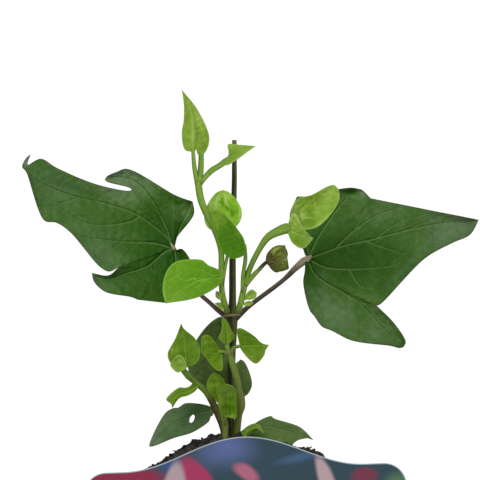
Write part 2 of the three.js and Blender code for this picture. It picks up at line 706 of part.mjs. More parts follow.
function bud() {
  const rows = 9;
  const sides = 18;
  const positions = [];
  const index = [];
  const [centreX, centreZ, centreY] = BUD_CENTRE;
  const centre = seen(centreX, centreZ, centreY);
  for (let i = 1; i < rows; i += 1) {
    const along = i / rows;
    for (let k = 0; k < sides; k += 1) {
      const angle = (k / sides) * Math.PI * 2;
      const lobe = Math.abs(Math.sin((angle * BUD_SCALES) / 2));
      const swell = Math.sin(Math.PI * along) ** 0.55;
      const radius = BUD_HALF_WIDTH * swell * (0.86 + 0.14 * lobe);
      const reach = BUD_HALF_LENGTH * (2 * along - 1 + 0.3 * along ** 4 * lobe);
      const [across, up] = [Math.cos(angle) * radius, Math.sin(angle) * radius];
      positions.push(centre.x + reach, centre.y + across, centre.z + up);
    }
  }
  for (let i = 0; i < rows - 2; i += 1) {
    for (let k = 0; k < sides; k += 1) {
      const a = i * sides + k;
      const b = i * sides + ((k + 1) % sides);
      index.push(a, b, b + sides, a, b + sides, a + sides);
    }
  }
  const tail = positions.length / 3;
  positions.push(centre.x - BUD_HALF_LENGTH, centre.y, centre.z);
  positions.push(centre.x + BUD_HALF_LENGTH, centre.y, centre.z);
  const lastRow = (rows - 2) * sides;
  for (let k = 0; k < sides; k += 1) {
    const next = (k + 1) % sides;
    index.push(tail, next, k, tail + 1, lastRow + k, lastRow + next);
  }
  return joined(asSolid(geometryOf(positions, index)), tube(BUD_STALK_END));
}

// The lower left shoot: a heart-shaped leaf, a small pale one before its foot and a narrow
// curved one below.

function lowerLeftShoot() {
  const heart = simpleLeaf({
    path: [[-18.8, 128], [-18.8, 134], [-19.6, 143.3]],
    left: [[-21.6, 127.8], [-23.4, 130.2], [-23.8, 134], [-21.8, 138.6]],
    right: [[-16, 128.2], [-13.8, 131.2], [-13.4, 135], [-15.4, 138.8], [-18.4, 141.4]],
    at: -10, lean: [0.05, 0.5], cup: -0.15,
  });
  const pale = [
    tube([[-17, 125.6, -8.8, 0.9], [-19.3, 127.6, -11.6, 0.6]]),
    simpleLeaf({
      path: [[-19.4, 126.8], [-20.2, 129.6], [-20.8, 132.7]],
      left: [[-21.6, 126.9], [-23.2, 129.2], [-22.6, 131.6]],
      right: [[-17.9, 127.4], [-18, 129.8], [-19.2, 132.2]],
      at: -11.8, lean: [0, -0.1], cup: -0.4, feet: 5,
    }),
  ];
  const narrow = simpleLeaf({
    path: [[-14.6, 122], [-18.6, 120.8], [-22, 118.6], [-24, 116.2]],
    left: [[-15.6, 120], [-19, 119], [-21, 117.7], [-22.6, 115.3]],
    right: [[-16.2, 123.2], [-19.2, 122.2], [-22.2, 120.8], [-24.6, 117.9]],
    at: -7.6, lean: [0.1, 0.4], cup: 0.2,
  });
  const stem = tube(stems.lowerLeft);
  return cutBy(joined(stem, heart, ...pale, narrow), mainClearance);
}

// The lower right shoot: three young leaves that spread from its tip.

function lowerRightShoot() {
  const leftLeaf = [
    tube([[-3.6, 133.4, -5.3, 0.6], [-5.6, 133.9, -6.4, 0.5], [-8, 133.4, -7, 0.4]]),
    simpleLeaf({
      path: [[-7, 133.6], [-10, 134], [-13, 136]],
      left: [[-5.8, 130.4], [-6.2, 127.6], [-9, 129], [-12, 132.7]],
      right: [[-7.8, 136], [-9.4, 138.6], [-11.7, 139.8], [-12.8, 138.2]],
      at: -6.9, lean: [0.3, 0.3], cup: -0.2,
    }),
  ];
  const upperLeaf = simpleLeaf({
    path: [[-4.4, 135.6], [-4.6, 140], [-6.2, 145.3]],
    left: [[-6.6, 137], [-6.9, 138.9], [-6.1, 142.4]],
    right: [[-3, 136.6], [-2, 139.2], [-3.4, 142]],
    at: -5.6, lean: [0.1, 0.1], fold: [-0.6, 0.3],
  });
  const rightLeaf = [
    tube([[-3.2, 132.8, -5.2, 0.65], [-2.2, 135.1, -6.2, 0.55], [0.8, 135.9, -7.2, 0.4]]),
    simpleLeaf({
      path: [[0.2, 135.7], [4.4, 136.6], [9.7, 135.8]],
      left: [[-0.9, 138.6], [-0.8, 141.3], [2, 140.8], [5.2, 138.2], [8, 136.3]],
      right: [[1.2, 133], [4.2, 129.9], [6.6, 130.2], [8.4, 133.4]],
      at: -7, lean: [-0.4, 0.3], cup: -0.15,
    }),
  ];
  const stem = tube(stems.lowerRight);
  return cutBy(joined(stem, ...leftLeaf, upperLeaf, ...rightLeaf), mainClearance);
}

// The front shoot: two small cupped leaves on a short stem.

function frontShoot() {
  const rear = [
    tube([[-5.1, 110.6, -6.5, 0.6], [-5.8, 114, -6.4, 0.5], [-6.6, 117.8, -6.3, 0.45]]),
    simpleLeaf({
      path: [[-6.2, 116.4], [-7.8, 121], [-9, 126.7]],
      left: [[-9.2, 119], [-11.4, 121.4], [-11, 124.4], [-9.9, 126.2]],
      right: [[-4.8, 119], [-5.2, 122.6], [-6.6, 125.8]],
      at: -6.2, lean: [0.1, -0.02], cup: -0.1,
    }),
  ];
  const fore = simpleLeaf({
    path: [[-5, 112.6], [-4.3, 117.4], [-4.2, 122.8]],
    left: [[-6.5, 115.2], [-7.6, 118.4], [-7, 121], [-5.2, 122.5]],
    right: [[-2.4, 112], [-1.1, 113.6], [-1.2, 118.4], [-2.2, 121.8]],
    at: -8.4, lean: [0, -0.1], cup: -0.25,
  });
  return joined(tube(stems.front), ...rear, fore);
}

// Old leaves low on the plant, in their own darker green.

function oldLeafLeft() {
  const blade = simpleLeaf({
    path: [[-9.2, 114], [-15, 113], [-22.4, 109.6], [-30.2, 102]],
    left: [[-10.6, 110.4], [-14.4, 107.6], [-20, 105.3], [-26.7, 103.2]],
    right: [[-10.8, 116], [-14.4, 116.5], [-18, 116.7], [-22.8, 114.7], [-26, 111.6], [-29, 106.3]],
    at: -3, lean: [-0.25, 0.45], cup: 0.08, feet: 12,
  });
  const bite = new THREE.CylinderGeometry(1, 1, 20, 8).scale(1, 1, 1.5).translate(-15.8, 0, 111.2);
  const stalk = tube([[-8, 113.2, -2.6, 0.5], [-11, 114.1, -2.6, 0.5]]);
  return cutBy(joined(blade, stalk), asSolid(bite), tube(stems.lowerLeft, GAP));
}

function oldLeafRight() {
  const blade = simpleLeaf({
    path: [[5.7, 109.2], [12, 108.6], [18.4, 106.8], [24.3, 104.3]],
    left: [[7, 111.1], [10.2, 112.3], [16.7, 110.4], [21.2, 107.8]],
    right: [[8, 106.8], [12.4, 104.3], [17.2, 102.9], [19.3, 104], [22, 104.3]],
    at: -2, lean: [0.2, 0.55], cup: 0.02, feet: 10,
  });
  return joined(tube(stems.oldLeafRight), blade);
}

function backLeafLeft() {
  const stalk = tube([[-3, 142.6, 1.8, 0.6], [-4.4, 143.6, 5, 0.5], [-6, 141.4, 7.4, 0.4]]);
  const blade = simpleLeaf({
    path: [[-5, 143.2], [-8.6, 136], [-12.4, 122]],
    left: [[-3.2, 139], [-2.8, 132], [-4, 125.6], [-9, 122.2]],
    right: [[-6.2, 145.4], [-10.7, 142.7], [-14.3, 138.3], [-17, 132.6], [-17, 127], [-14, 123]],
    at: 6.8, lean: [-0.1, -0.3], cup: 0.06, feet: 10,
  });
  return cutBy(joined(stalk, blade), mainClearance);
}

function backLeafRight() {
  const stalk = tube([[0, 112.4, -0.8, 0.5], [1.2, 115.4, 1.8, 0.5], [1.2, 120, 4.2, 0.4]]);
  const blade = simpleLeaf({
    path: [[1.2, 118.6], [0.6, 124], [0.2, 131.2]],
    left: [[-1.6, 119.4], [-3, 124], [-2, 129]],
    right: [[3, 120.2], [3.9, 123], [3, 126.6], [1.4, 130.4]],
    at: 3.8, lean: [0.2, 0.4], cup: 0.1,
  });
  return cutBy(joined(stalk, blade), tube(stems.lowerRight, GAP), mainClearance);
}

// A young sprout that arches out of the soil.

function soilSprout() {
  const blade = simpleLeaf({
    path: [[2, 107.4], [4.4, 108.7], [6.4, 108.4], [8, 106.7]],
    left: [[2.4, 108.8], [4.4, 109.8], [6.6, 109]],
    right: [[3.4, 106.6], [5.4, 107.6], [7.2, 107]],
    at: -6.6, lean: [-0.3, 0.5], cup: 0.5, feet: 6,
  });
  return joined(tube(stems.sprout), blade);
}

// The soil has a plain hole round each stem that stands in it, and a slot for the tongue.

function soilWithHoles() {
  const standing = [
    stems.main, stems.lowerLeft, stems.lowerRight, stems.front, stems.oldLeafRight, stems.sprout,
  ];
  const holes = standing.map((points) => {
    const [x, z, y, radius] = points[0];
    return tube([[x, z - GAP, y, radius], ...points.slice(0, 3)], GAP);
  });
  const reach = TONGUE_WIDTH / 2 + GAP;
  const slotBottom = POT_HEIGHT - TONGUE_DROP - GAP;
  const slotBack = TONGUE_BACK + LABEL_THICKNESS + GAP;
  const left = LABEL_OFFSET - reach;
  const right = LABEL_OFFSET + reach;
  const slot = box(left, right, -POT_RADIUS, slotBack, slotBottom, SOIL_CROWN_HEIGHT);
  return cutBy(soil(), ...holes, asSolid(slot));
}

function piece(name, solid, color, roughness) {
  const material = new THREE.MeshStandardMaterial({ color, roughness, metalness: 0 });
  const mesh = new THREE.Mesh(asGeometry(solid), material);
  mesh.name = name;
  return mesh;
}

const plant = new THREE.Group();
plant.add(
  piece('pot', pot(), COLOURS.pot, 0.5),
  piece('soil', soilWithHoles(), COLOURS.soil, 0.95),
  piece('picture_label', label(), COLOURS.label, 0.35),
  piece('main_stem', mainStem, COLOURS.oldStem, 0.7),
  piece('big_leaf_left', cutBy(bladeSolid(bigLeafLeft()), mainClearance), COLOURS.oldLeaf, 0.5),
  piece('big_leaf_right', cutBy(bladeSolid(bigLeafRight()), mainClearance), COLOURS.oldLeaf, 0.5),
  piece('left_shoot', leftShoot(), COLOURS.youngShoot, 0.5),
  piece('right_shoot', rightShoot(), COLOURS.youngShoot, 0.5),
  piece('bud', bud(), COLOURS.bud, 0.6),
  piece('lower_left_shoot', lowerLeftShoot(), COLOURS.youngShoot, 0.5),
  piece('lower_right_shoot', lowerRightShoot(), COLOURS.youngShoot, 0.5),
  piece('front_shoot', frontShoot(), COLOURS.youngShoot, 0.5),
  piece('old_leaf_left', oldLeafLeft(), COLOURS.agedLeaf, 0.55),
  piece('old_leaf_right', oldLeafRight(), COLOURS.agedLeaf, 0.55),
  piece('back_leaf_left', backLeafLeft(), COLOURS.agedLeaf, 0.55),
  piece('back_leaf_right', backLeafRight(), COLOURS.agedLeaf, 0.55),
  piece('soil_sprout', soilSprout(), COLOURS.youngShoot, 0.5),
);

export default plant;
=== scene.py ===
"""Looks of a young potted clematis: leaves, shoots, bud, peat, nursery pot and label.

Lengths are millimetres until mesh_of() turns them to metres, apart from the studio's. A
leaf's outline is drawn in the upright plane through the main stem, as it shows from a point
VIEW_DISTANCE in front of it at VIEW_HEIGHT, and seen() puts it at its depth.
"""

import logging
import math
from dataclasses import dataclass, field, replace
from enum import Enum

import bpy
import numpy as np
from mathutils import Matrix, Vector


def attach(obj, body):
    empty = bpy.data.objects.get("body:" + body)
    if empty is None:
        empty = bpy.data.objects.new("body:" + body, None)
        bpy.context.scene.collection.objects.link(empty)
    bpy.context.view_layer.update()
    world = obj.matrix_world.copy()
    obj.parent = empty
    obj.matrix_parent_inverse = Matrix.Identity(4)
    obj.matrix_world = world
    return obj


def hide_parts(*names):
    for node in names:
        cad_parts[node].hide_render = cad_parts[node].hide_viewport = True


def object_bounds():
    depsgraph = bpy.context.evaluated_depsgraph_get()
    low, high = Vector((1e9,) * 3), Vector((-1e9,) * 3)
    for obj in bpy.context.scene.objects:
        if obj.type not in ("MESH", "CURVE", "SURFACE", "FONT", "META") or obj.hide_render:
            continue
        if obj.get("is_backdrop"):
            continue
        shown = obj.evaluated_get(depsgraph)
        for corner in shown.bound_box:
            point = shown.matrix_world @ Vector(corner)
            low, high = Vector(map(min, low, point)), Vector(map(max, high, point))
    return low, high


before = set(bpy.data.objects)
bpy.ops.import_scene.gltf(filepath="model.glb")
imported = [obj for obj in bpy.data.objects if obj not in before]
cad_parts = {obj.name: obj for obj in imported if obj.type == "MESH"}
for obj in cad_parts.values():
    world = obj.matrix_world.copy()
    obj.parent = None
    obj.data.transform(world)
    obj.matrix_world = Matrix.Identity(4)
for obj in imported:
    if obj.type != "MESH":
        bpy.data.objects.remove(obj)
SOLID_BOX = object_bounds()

LOG = logging.getLogger("potted_clematis")

Array = np.ndarray
Path = tuple[tuple[float, ...], ...]
Paths = tuple[Path, ...]
Socket = bpy.types.NodeSocket
Tree = bpy.types.NodeTree
Material = bpy.types.Material
Object = bpy.types.Object
Pair = tuple[float, float]
Triple = tuple[float, float, float]
Marks = dict[str, Array]
Inputs = dict[int | str, object]
Span = tuple[Socket, float, float, float, float]
Layer = tuple[Socket, float, float, float, str]
Bump = tuple[Socket, float, float]

MM = 0.001
VIEW_DISTANCE = 600.0
VIEW_HEIGHT = 171.0
AWAY_FROM_LIGHT = (0.3, -1.0)
SEED = 20
BLADE_THICKNESS = 0.36
# Rings of a stem from one point of its path to the next.
STEPS_PER_SPAN = 9
# Points in one cell of this size are one point. The shift keeps round values off cell walls.
WELD_STEP, WELD_SHIFT = 0.004, 0.371
# They keep a division from being by no length or no area.
TINY, NO_AREA = 1e-6, 1e-12


# Shapes: curves, grids and closed surfaces, worked out as whole arrays.


@dataclass
class Surface:
    """A triangle surface in millimetres.

    marks holds a value at each point under each name, skins the place of each triangle's
    finish in the piece's list of finishes, and creases the edges that stay sharp.
    """

    points: Array
    triangles: Array
    marks: Marks = field(default_factory=dict)
    skins: Array | None = None
    creases: Array | None = None

    def __post_init__(self) -> None:
        """Fills in the first finish and no creases where none are given."""
        if self.skins is None:
            self.skins = np.zeros(len(self.triangles), int)
        if self.creases is None:
            self.creases = np.zeros((0, 2), int)

    def skinned(self, skin: int) -> "Surface":
        """The surface with all its triangles in one finish."""
        return replace(self, skins=np.full(len(self.triangles), skin))

    def corners(self) -> Array:
        """All first, all second and all third corners of the triangles."""
        return np.moveaxis(self.points[self.triangles], 1, 0)

    def flipped_if(self, wrong: bool) -> "Surface":
        """The surface with its faces to the other side if they are wrong, or as it is."""
        return replace(self, triangles=self.triangles[:, ::-1]) if wrong else self

    def faces_out(self) -> "Surface":
        """A closed surface with its faces outwards: its signed volume is positive."""
        a, b, c = self.corners()
        return self.flipped_if(np.einsum("ij,ij->", a, np.cross(b, c)) < 0)

    def faces_viewer(self) -> "Surface":
        """A sheet with its faces to the viewer, along -Y."""
        a, b, c = self.corners()
        return self.flipped_if(np.cross(b - a, c - a)[:, 1].sum() > 0)


def joined(parts: list[Surface]) -> Surface:
    """Puts several surfaces into one.

    Args:
        parts: The surfaces, whose finishes already share one list.

    Returns:
        One surface, with 0 for a mark that a part doesn't have.
    """
    starts = np.cumsum([0] + [len(part.points) for part in parts])
    marks = {}
    for name in sorted({name for part in parts for name in part.marks}):
        marks[name] = np.concatenate([part.marks.get(name, 0 * part.points[:, 0]) for part in parts])
    return Surface(
        np.vstack([part.points for part in parts]),
        np.vstack([part.triangles + start for part, start in zip(parts, starts)]),
        marks,
        np.concatenate([part.skins for part in parts]),
        np.vstack([part.creases + start for part, start in zip(parts, starts)]),
    )


def smooth_step(value: Array, low: float, high: float) -> Array:
    """Rises from 0 at low to 1 at high as 3 t squared less 2 t cubed.

    Args:
        value: The values.
        low: The value up to which the step is 0.
        high: The value from which it is 1.

    Returns:
        The step at each value.
    """
    share = np.clip((value - low) / (high - low), 0, 1)
    return share * share * (3 - 2 * share)


def seen(x: Array, z: Array, y: Array) -> Array:
    """Puts drawn points at their depths.

    A point is spread from the line of sight by 1 plus its depth over the viewing distance.

    Args:
        x: Drawn distances to the right.
        z: Drawn heights.
        y: Depths, larger away from the viewer.

    Returns:
        An array of points with x, y and z last.
    """
    spread = 1 + y / VIEW_DISTANCE
    return np.stack([x * spread, y, VIEW_HEIGHT + (z - VIEW_HEIGHT) * spread], axis=-1)


def curve_at(path: Path, turns: Array) -> Array:
    """Points on a centripetal Catmull-Rom curve through the path.

    Each span is a cubic whose end slopes come from the neighbours, weighted by the square
    roots of the gaps. Past each end the last gap is repeated.

    Args:
        path: The points that the curve goes through.
        turns: Places from 0 to 1, counted in equal steps from point to point.

    Returns:
        One point for each place.
    """
    points = np.asarray(path, float)
    hull = np.vstack([2 * points[0] - points[1], points, 2 * points[-1] - points[-2]])
    place = np.clip(turns, 0, 1) * (len(points) - 1)
    span = np.minimum(place.astype(int), len(points) - 2)
    t = (place - span)[:, None]
    p0, p1, p2, p3 = (hull[span + k] for k in range(4))
    ends = ((p0, p1), (p1, p2), (p2, p3))
    g0, g1, g2 = (np.sqrt(np.linalg.norm(b - a, axis=1))[:, None] + TINY for a, b in ends)
    leave = ((p1 - p0) / g0 - (p2 - p0) / (g0 + g1) + (p2 - p1) / g1) * g1
    enter = ((p2 - p1) / g1 - (p3 - p1) / (g1 + g2) + (p3 - p2) / g2) * g1
    square = -3 * p1 + 3 * p2 - 2 * leave - enter
    cube = 2 * p1 - 2 * p2 + leave + enter
    return p1 + leave * t + square * t**2 + cube * t**3


def spaced_along(path: Path, shares: Array) -> Array:
    """Points at shares of a curve's length, read back from the summed chords of 200 steps.

    Args:
        path: The points that the curve goes through.
        shares: Shares of its length from 0 to 1.

    Returns:
        One point for each share.
    """
    turns = np.linspace(0, 1, 201)
    chords = np.linalg.norm(np.diff(curve_at(path, turns), axis=0), axis=1)
    reach = np.concatenate([[0], np.cumsum(chords)])
    return curve_at(path, np.interp(np.clip(shares, 0, 1) * reach[-1], reach, turns))


def near_curve(flat: Array, path: Path, steps: int = 36) -> tuple[Array, Array, Array]:
    """Finds how near each drawn point is to a drawn curve.

    Each point is dropped on every chord of the curve, and the shortest distance counts. Its
    side is the sign of the chord's cross product with the offset times that with
    AWAY_FROM_LIGHT.

    Args:
        flat: Drawn points, (n, 2).
        path: Points that the curve goes through.
        steps: Points that are taken along it.

    Returns:
        The distances, the share of the curve at which each point is nearest, and its
        side, 1 away from the light and -1 towards it.
    """
    curve = spaced_along(path, np.linspace(0, 1, steps))
    start, step = curve[:-1], np.diff(curve, axis=0)
    offset = flat[:, None] - start[None]
    share = np.clip((offset * step).sum(-1) / (step**2).sum(-1), 0, 1)
    gap = np.linalg.norm(offset - share[..., None] * step, axis=-1)
    chord = gap.argmin(axis=1)
    rows = np.arange(len(flat))
    cross = step[:, 0] * offset[..., 1] - step[:, 1] * offset[..., 0]
    facing = step[:, 0] * AWAY_FROM_LIGHT[1] - step[:, 1] * AWAY_FROM_LIGHT[0]
    side = np.sign(cross * facing)[rows, chord]
    return gap[rows, chord], (chord + share[rows, chord]) / len(start), side


def ripples(u: Array, v: Array, wavelength: float, seed: int, count: int = 9) -> Array:
    """Gentle random relief: the mean of plane waves in random directions.

    Args:
        u: First coordinate.
        v: Second coordinate.
        wavelength: Mean distance from crest to crest, with waves from 0.7 to 1.4 of it.
        seed: Number that fixes the draw.
        count: How many waves are added.

    Returns:
        Values of about -1 to 1.
    """
    draw = np.random.default_rng(SEED + seed)
    angles = draw.uniform(0, 2 * np.pi, count)
    lengths = wavelength * draw.uniform(0.7, 1.4, count)
    phases = draw.uniform(0, 2 * np.pi, count)
    total = np.zeros(np.broadcast(u, v).shape)
    for angle, length, phase in zip(angles, lengths, phases):
        total += np.sin(2 * np.pi / length * (u * np.cos(angle) + v * np.sin(angle)) + phase)
    return total / np.sqrt(count)


def grid_triangles(rows: int, columns: int, wraps: bool = False) -> Array:
    """Two triangles for each cell of a grid of points.

    Args:
        rows: Rows of points.
        columns: Points in each row.
        wraps: Whether the last column joins the first.

    Returns:
        Point numbers, three to a triangle.
    """
    row = np.arange(rows - 1)[:, None] * columns
    column = np.arange(columns if wraps else columns - 1)[None]
    a = row + column
    b = row + (column + 1) % columns
    c, d = b + columns, a + columns
    return np.stack([a, b, c, a, c, d], axis=-1).reshape(-1, 3)


def level_rings(radius: Array, height: Array, sides: int) -> Array:
    """Rings round the upright axis: x and y are the radius times cosine and sine.

    Args:
        radius: Each ring's radius.
        height: Each ring's height.
        sides: Points in a ring.

    Returns:
        Points, (rings, sides, 3).
    """
    angle = np.linspace(0, 2 * np.pi, sides, endpoint=False)
    across, up = radius[:, None], np.tile(np.asarray(height, float)[:, None], sides)
    return np.stack([across * np.cos(angle), across * np.sin(angle), up], axis=-1)


def turned_closed(rings: Array, marks: Marks) -> Surface:
    """Closes a stack of rings with a pole at each end.

    Args:
        rings: Points, (rings, points round, 3).
        marks: Values on the same grid.

    Returns:
        A closed surface. Each pole is the mean of its end ring.
    """
    steps, sides, _ = rings.shape
    points = np.vstack([rings.reshape(-1, 3), rings[0].mean(0), rings[-1].mean(0)])
    first, last = steps * sides, steps * sides + 1
    k = np.arange(sides)
    after = (k + 1) % sides
    top = (steps - 1) * sides
    low_cap = np.stack([np.full(sides, first), after, k], axis=1)
    top_cap = np.stack([np.full(sides, last), top + k, top + after], axis=1)
    held = {}
    for name, value in marks.items():
        held[name] = np.concatenate([value.reshape(-1), [value[0].mean(), value[-1].mean()]])
    triangles = np.vstack([grid_triangles(steps, sides, wraps=True), low_cap, top_cap])
    return Surface(points, triangles, held).faces_out()


def welded(points: Array, triangles: Array, marks: Marks) -> Surface:
    """Merges points that lie in one small cell and drops the triangles that vanish by it.

    Args:
        points: The points.
        triangles: Point numbers, three to a triangle.
        marks: Values at the points.

    Returns:
        The surface, each of whose points is the first of those that it stands for.
    """
    keys = np.round(points / WELD_STEP + WELD_SHIFT).astype(np.int64)
    _, first, place = np.unique(keys, axis=0, return_index=True, return_inverse=True)
    corners = place.reshape(-1)[triangles]
    a, b, c = corners.T
    corners = corners[(a != b) & (b != c) & (c != a)]
    return Surface(points[first], corners, {name: value[first] for name, value in marks.items()})


def normals_of(surface: Surface) -> Array:
    """Unit normals at the points: the sum of the normals of the triangles round each.

    Args:
        surface: The surface.

    Returns:
        One normal for each point.
    """
    a, b, c = surface.corners()
    face = np.cross(b - a, c - a)
    total = np.zeros_like(surface.points)
    for corner in range(3):
        np.add.at(total, surface.triangles[:, corner], face)
    return total / np.maximum(np.linalg.norm(total, axis=1), NO_AREA)[:, None]


def thickened(sheet: Surface, thickness: Array, skins: tuple[int, int]) -> Surface:
    """Gives a sheet a front, a back and a rim between them.

    Each point goes half the thickness along its normal and half against it, and each
    edge that only one triangle has gets two triangles of rim.

    Args:
        sheet: The sheet, with its faces to the front.
        thickness: The thickness at each point.
        skins: The finishes of the front with the rim, and of the back.

    Returns:
        A closed surface.
    """
    count = len(sheet.points)
    shift = normals_of(sheet) * (thickness / 2)[:, None]
    edges = np.vstack([sheet.triangles[:, [0, 1]], sheet.triangles[:, [1, 2]], sheet.triangles[:, [2, 0]]])
    forth = edges[:, 0] * count + edges[:, 1]
    back = edges[:, 1] * count + edges[:, 0]
    rim = edges[~np.isin(forth, back)]
    a, b = rim.T
    walls = np.vstack([np.stack([b, a, a + count], axis=1), np.stack([b, a + count, b + count], axis=1)])
    faces = len(sheet.triangles)
    return Surface(
        np.vstack([sheet.points + shift, sheet.points - shift]),
        np.vstack([sheet.triangles, sheet.triangles[:, ::-1] + count, walls]),
        {name: np.concatenate([value, value]) for name, value in sheet.marks.items()},
        np.repeat([*skins, skins[0]], [faces, faces, len(walls)]),
        np.vstack([rim, rim + count]),
    )


def tube(path: Path, ribs: float, sides: int) -> Surface:
    """A stem: a ring of points carried along a curve, with its radius from point to point.

    The ring stands square to the curve. Its radius is the path's, raised and lowered by
    the share ribs as the cosine of six times the angle, so that it has six ribs.

    Args:
        path: Points of the centre line as drawn x, drawn z, depth y and radius.
        ribs: Height of the ribs as a share of the radius.
        sides: Points round the ring.

    Returns:
        A closed surface with the marks along and right, which is 1 on the right side as seen from the front;
        the stem finishes paint light and shade by it.
    """
    data = np.asarray(path, float)
    centres = seen(data[:, 0], data[:, 1], data[:, 2])
    turns = np.linspace(0, 1, (len(path) - 1) * STEPS_PER_SPAN + 1)
    centre = curve_at(centres, turns)
    radius = np.interp(turns, np.linspace(0, 1, len(path)), data[:, 3])
    tangent = np.gradient(centre, axis=0)
    side = np.cross([0.0, 1.0, 0.0], tangent)
    side /= np.linalg.norm(side, axis=1)[:, None]
    front = np.cross(tangent, side)
    front /= np.linalg.norm(front, axis=1)[:, None]
    angle = np.arange(sides) / sides * 2 * np.pi
    reach = radius[:, None] * (1 + ribs * np.cos(6 * angle))
    across, ahead = (reach * np.cos(angle))[..., None], (reach * np.sin(angle))[..., None]
    rings = centre[:, None] + side[:, None] * across + front[:, None] * ahead
    grid = np.ones_like(reach)
    return turned_closed(rings, {"along": turns[:, None] * grid, "right": np.cos(angle) * grid})


# Leaves.


@dataclass(frozen=True)
class Margin:
    """One edge of a lobe, from a notch or the attachment to the lobe's tip, which isn't in points.

    hold is the share of the vein whose lines all end on the margin's first point.
    """

    points: Path
    hold: float = 0.0


@dataclass(frozen=True)
class Lobe:
    """A lobe: the vein from the attachment to its tip, and the margin on each side."""

    vein: Path
    left: Margin
    right: Margin
    long: bool = False


@dataclass(frozen=True)
class Hang:
    """How a blade lies in depth.

    The depth is at, plus lean times the drawn distance from the attachment, plus fold times
    that from the vein, plus cup times the same by the square of the share out. curl bends
    the tip as the cube of the share along, rise moves the rim and tip_curl the long tip.
    """

    at: float
    lean: Pair = (0, 0)
    fold: Pair = (0, 0)
    cup: float = 0.0
    curl: float = 0.0
    rise: float = 0.0
    tip_curl: float = 0.0

    def depth(self, flat: Array, start: Array, marks: Marks) -> Array:
        """Depths of the points of a blade.

        Args:
            flat: Drawn points.
            start: The attachment.
            marks: Shares along the vein and out to the margin, the margin's distance, and
                1 on the fold's first side and on the long lobe.

        Returns:
            The depths.
        """
        along, out, width = marks["along"], marks["out"], marks["width"]
        fold = np.where(marks["side"] > 0.5, *self.fold)
        folded = (fold * out + self.cup * out**2) * width + self.curl * along**3
        rim = self.rise * out**2 * smooth_step(width, 0, 2.4)
        tip = self.tip_curl * marks["long"] * smooth_step(along, 0.8, 1) ** 2
        return self.at + (flat - start) @ np.array(self.lean) + folded + rim + tip


@dataclass(frozen=True)
class Rib:
    """A vein drawn on a blade: its path, its half width at the start and how strongly it shows."""

    path: Path
    width: float
    strength: float


@dataclass(frozen=True)
class Streak:
    """A soft band along a path, of half width width, of painted light (amount over 0) or painted shade.

    It paints the shade in folds and crumples and highlights along edges and midribs. A second amount paints a
    grey sheen on it, and dip sinks it by millimetres.
    """

    path: Path
    width: float
    amount: float
    haze: float = 0.0
    dip: float = 0.0


@dataclass(frozen=True)
class PaintedShading:
    """A soft round patch of painted light (amount over 0) or painted shade, and a painted grey sheen of the
    second amount.
    """

    x: float
    z: float
    reach: float
    amount: float
    haze: float = 0.0


@dataclass(frozen=True)
class SideVeins:
    """Side veins that leave the middle vein in pairs and bend towards the tip by sweep."""

    pairs: float
    sweep: float
    strength: float


@dataclass(frozen=True)
class Relief:
    """Low relief of a blade in millimetres.

    groove is how deep a vein is sunk, quilt how far the blade swells between veins, wave
    and crumple the heights of the long and the short ripples, and wave_length and
    crumple_length their lengths.
    """

    groove: float
    quilt: float
    wave: float
    wave_length: float
    crumple: float
    crumple_length: float


SOFT = Relief(0.14, 0.25, 0.17, 8, 0.12, 2.2)


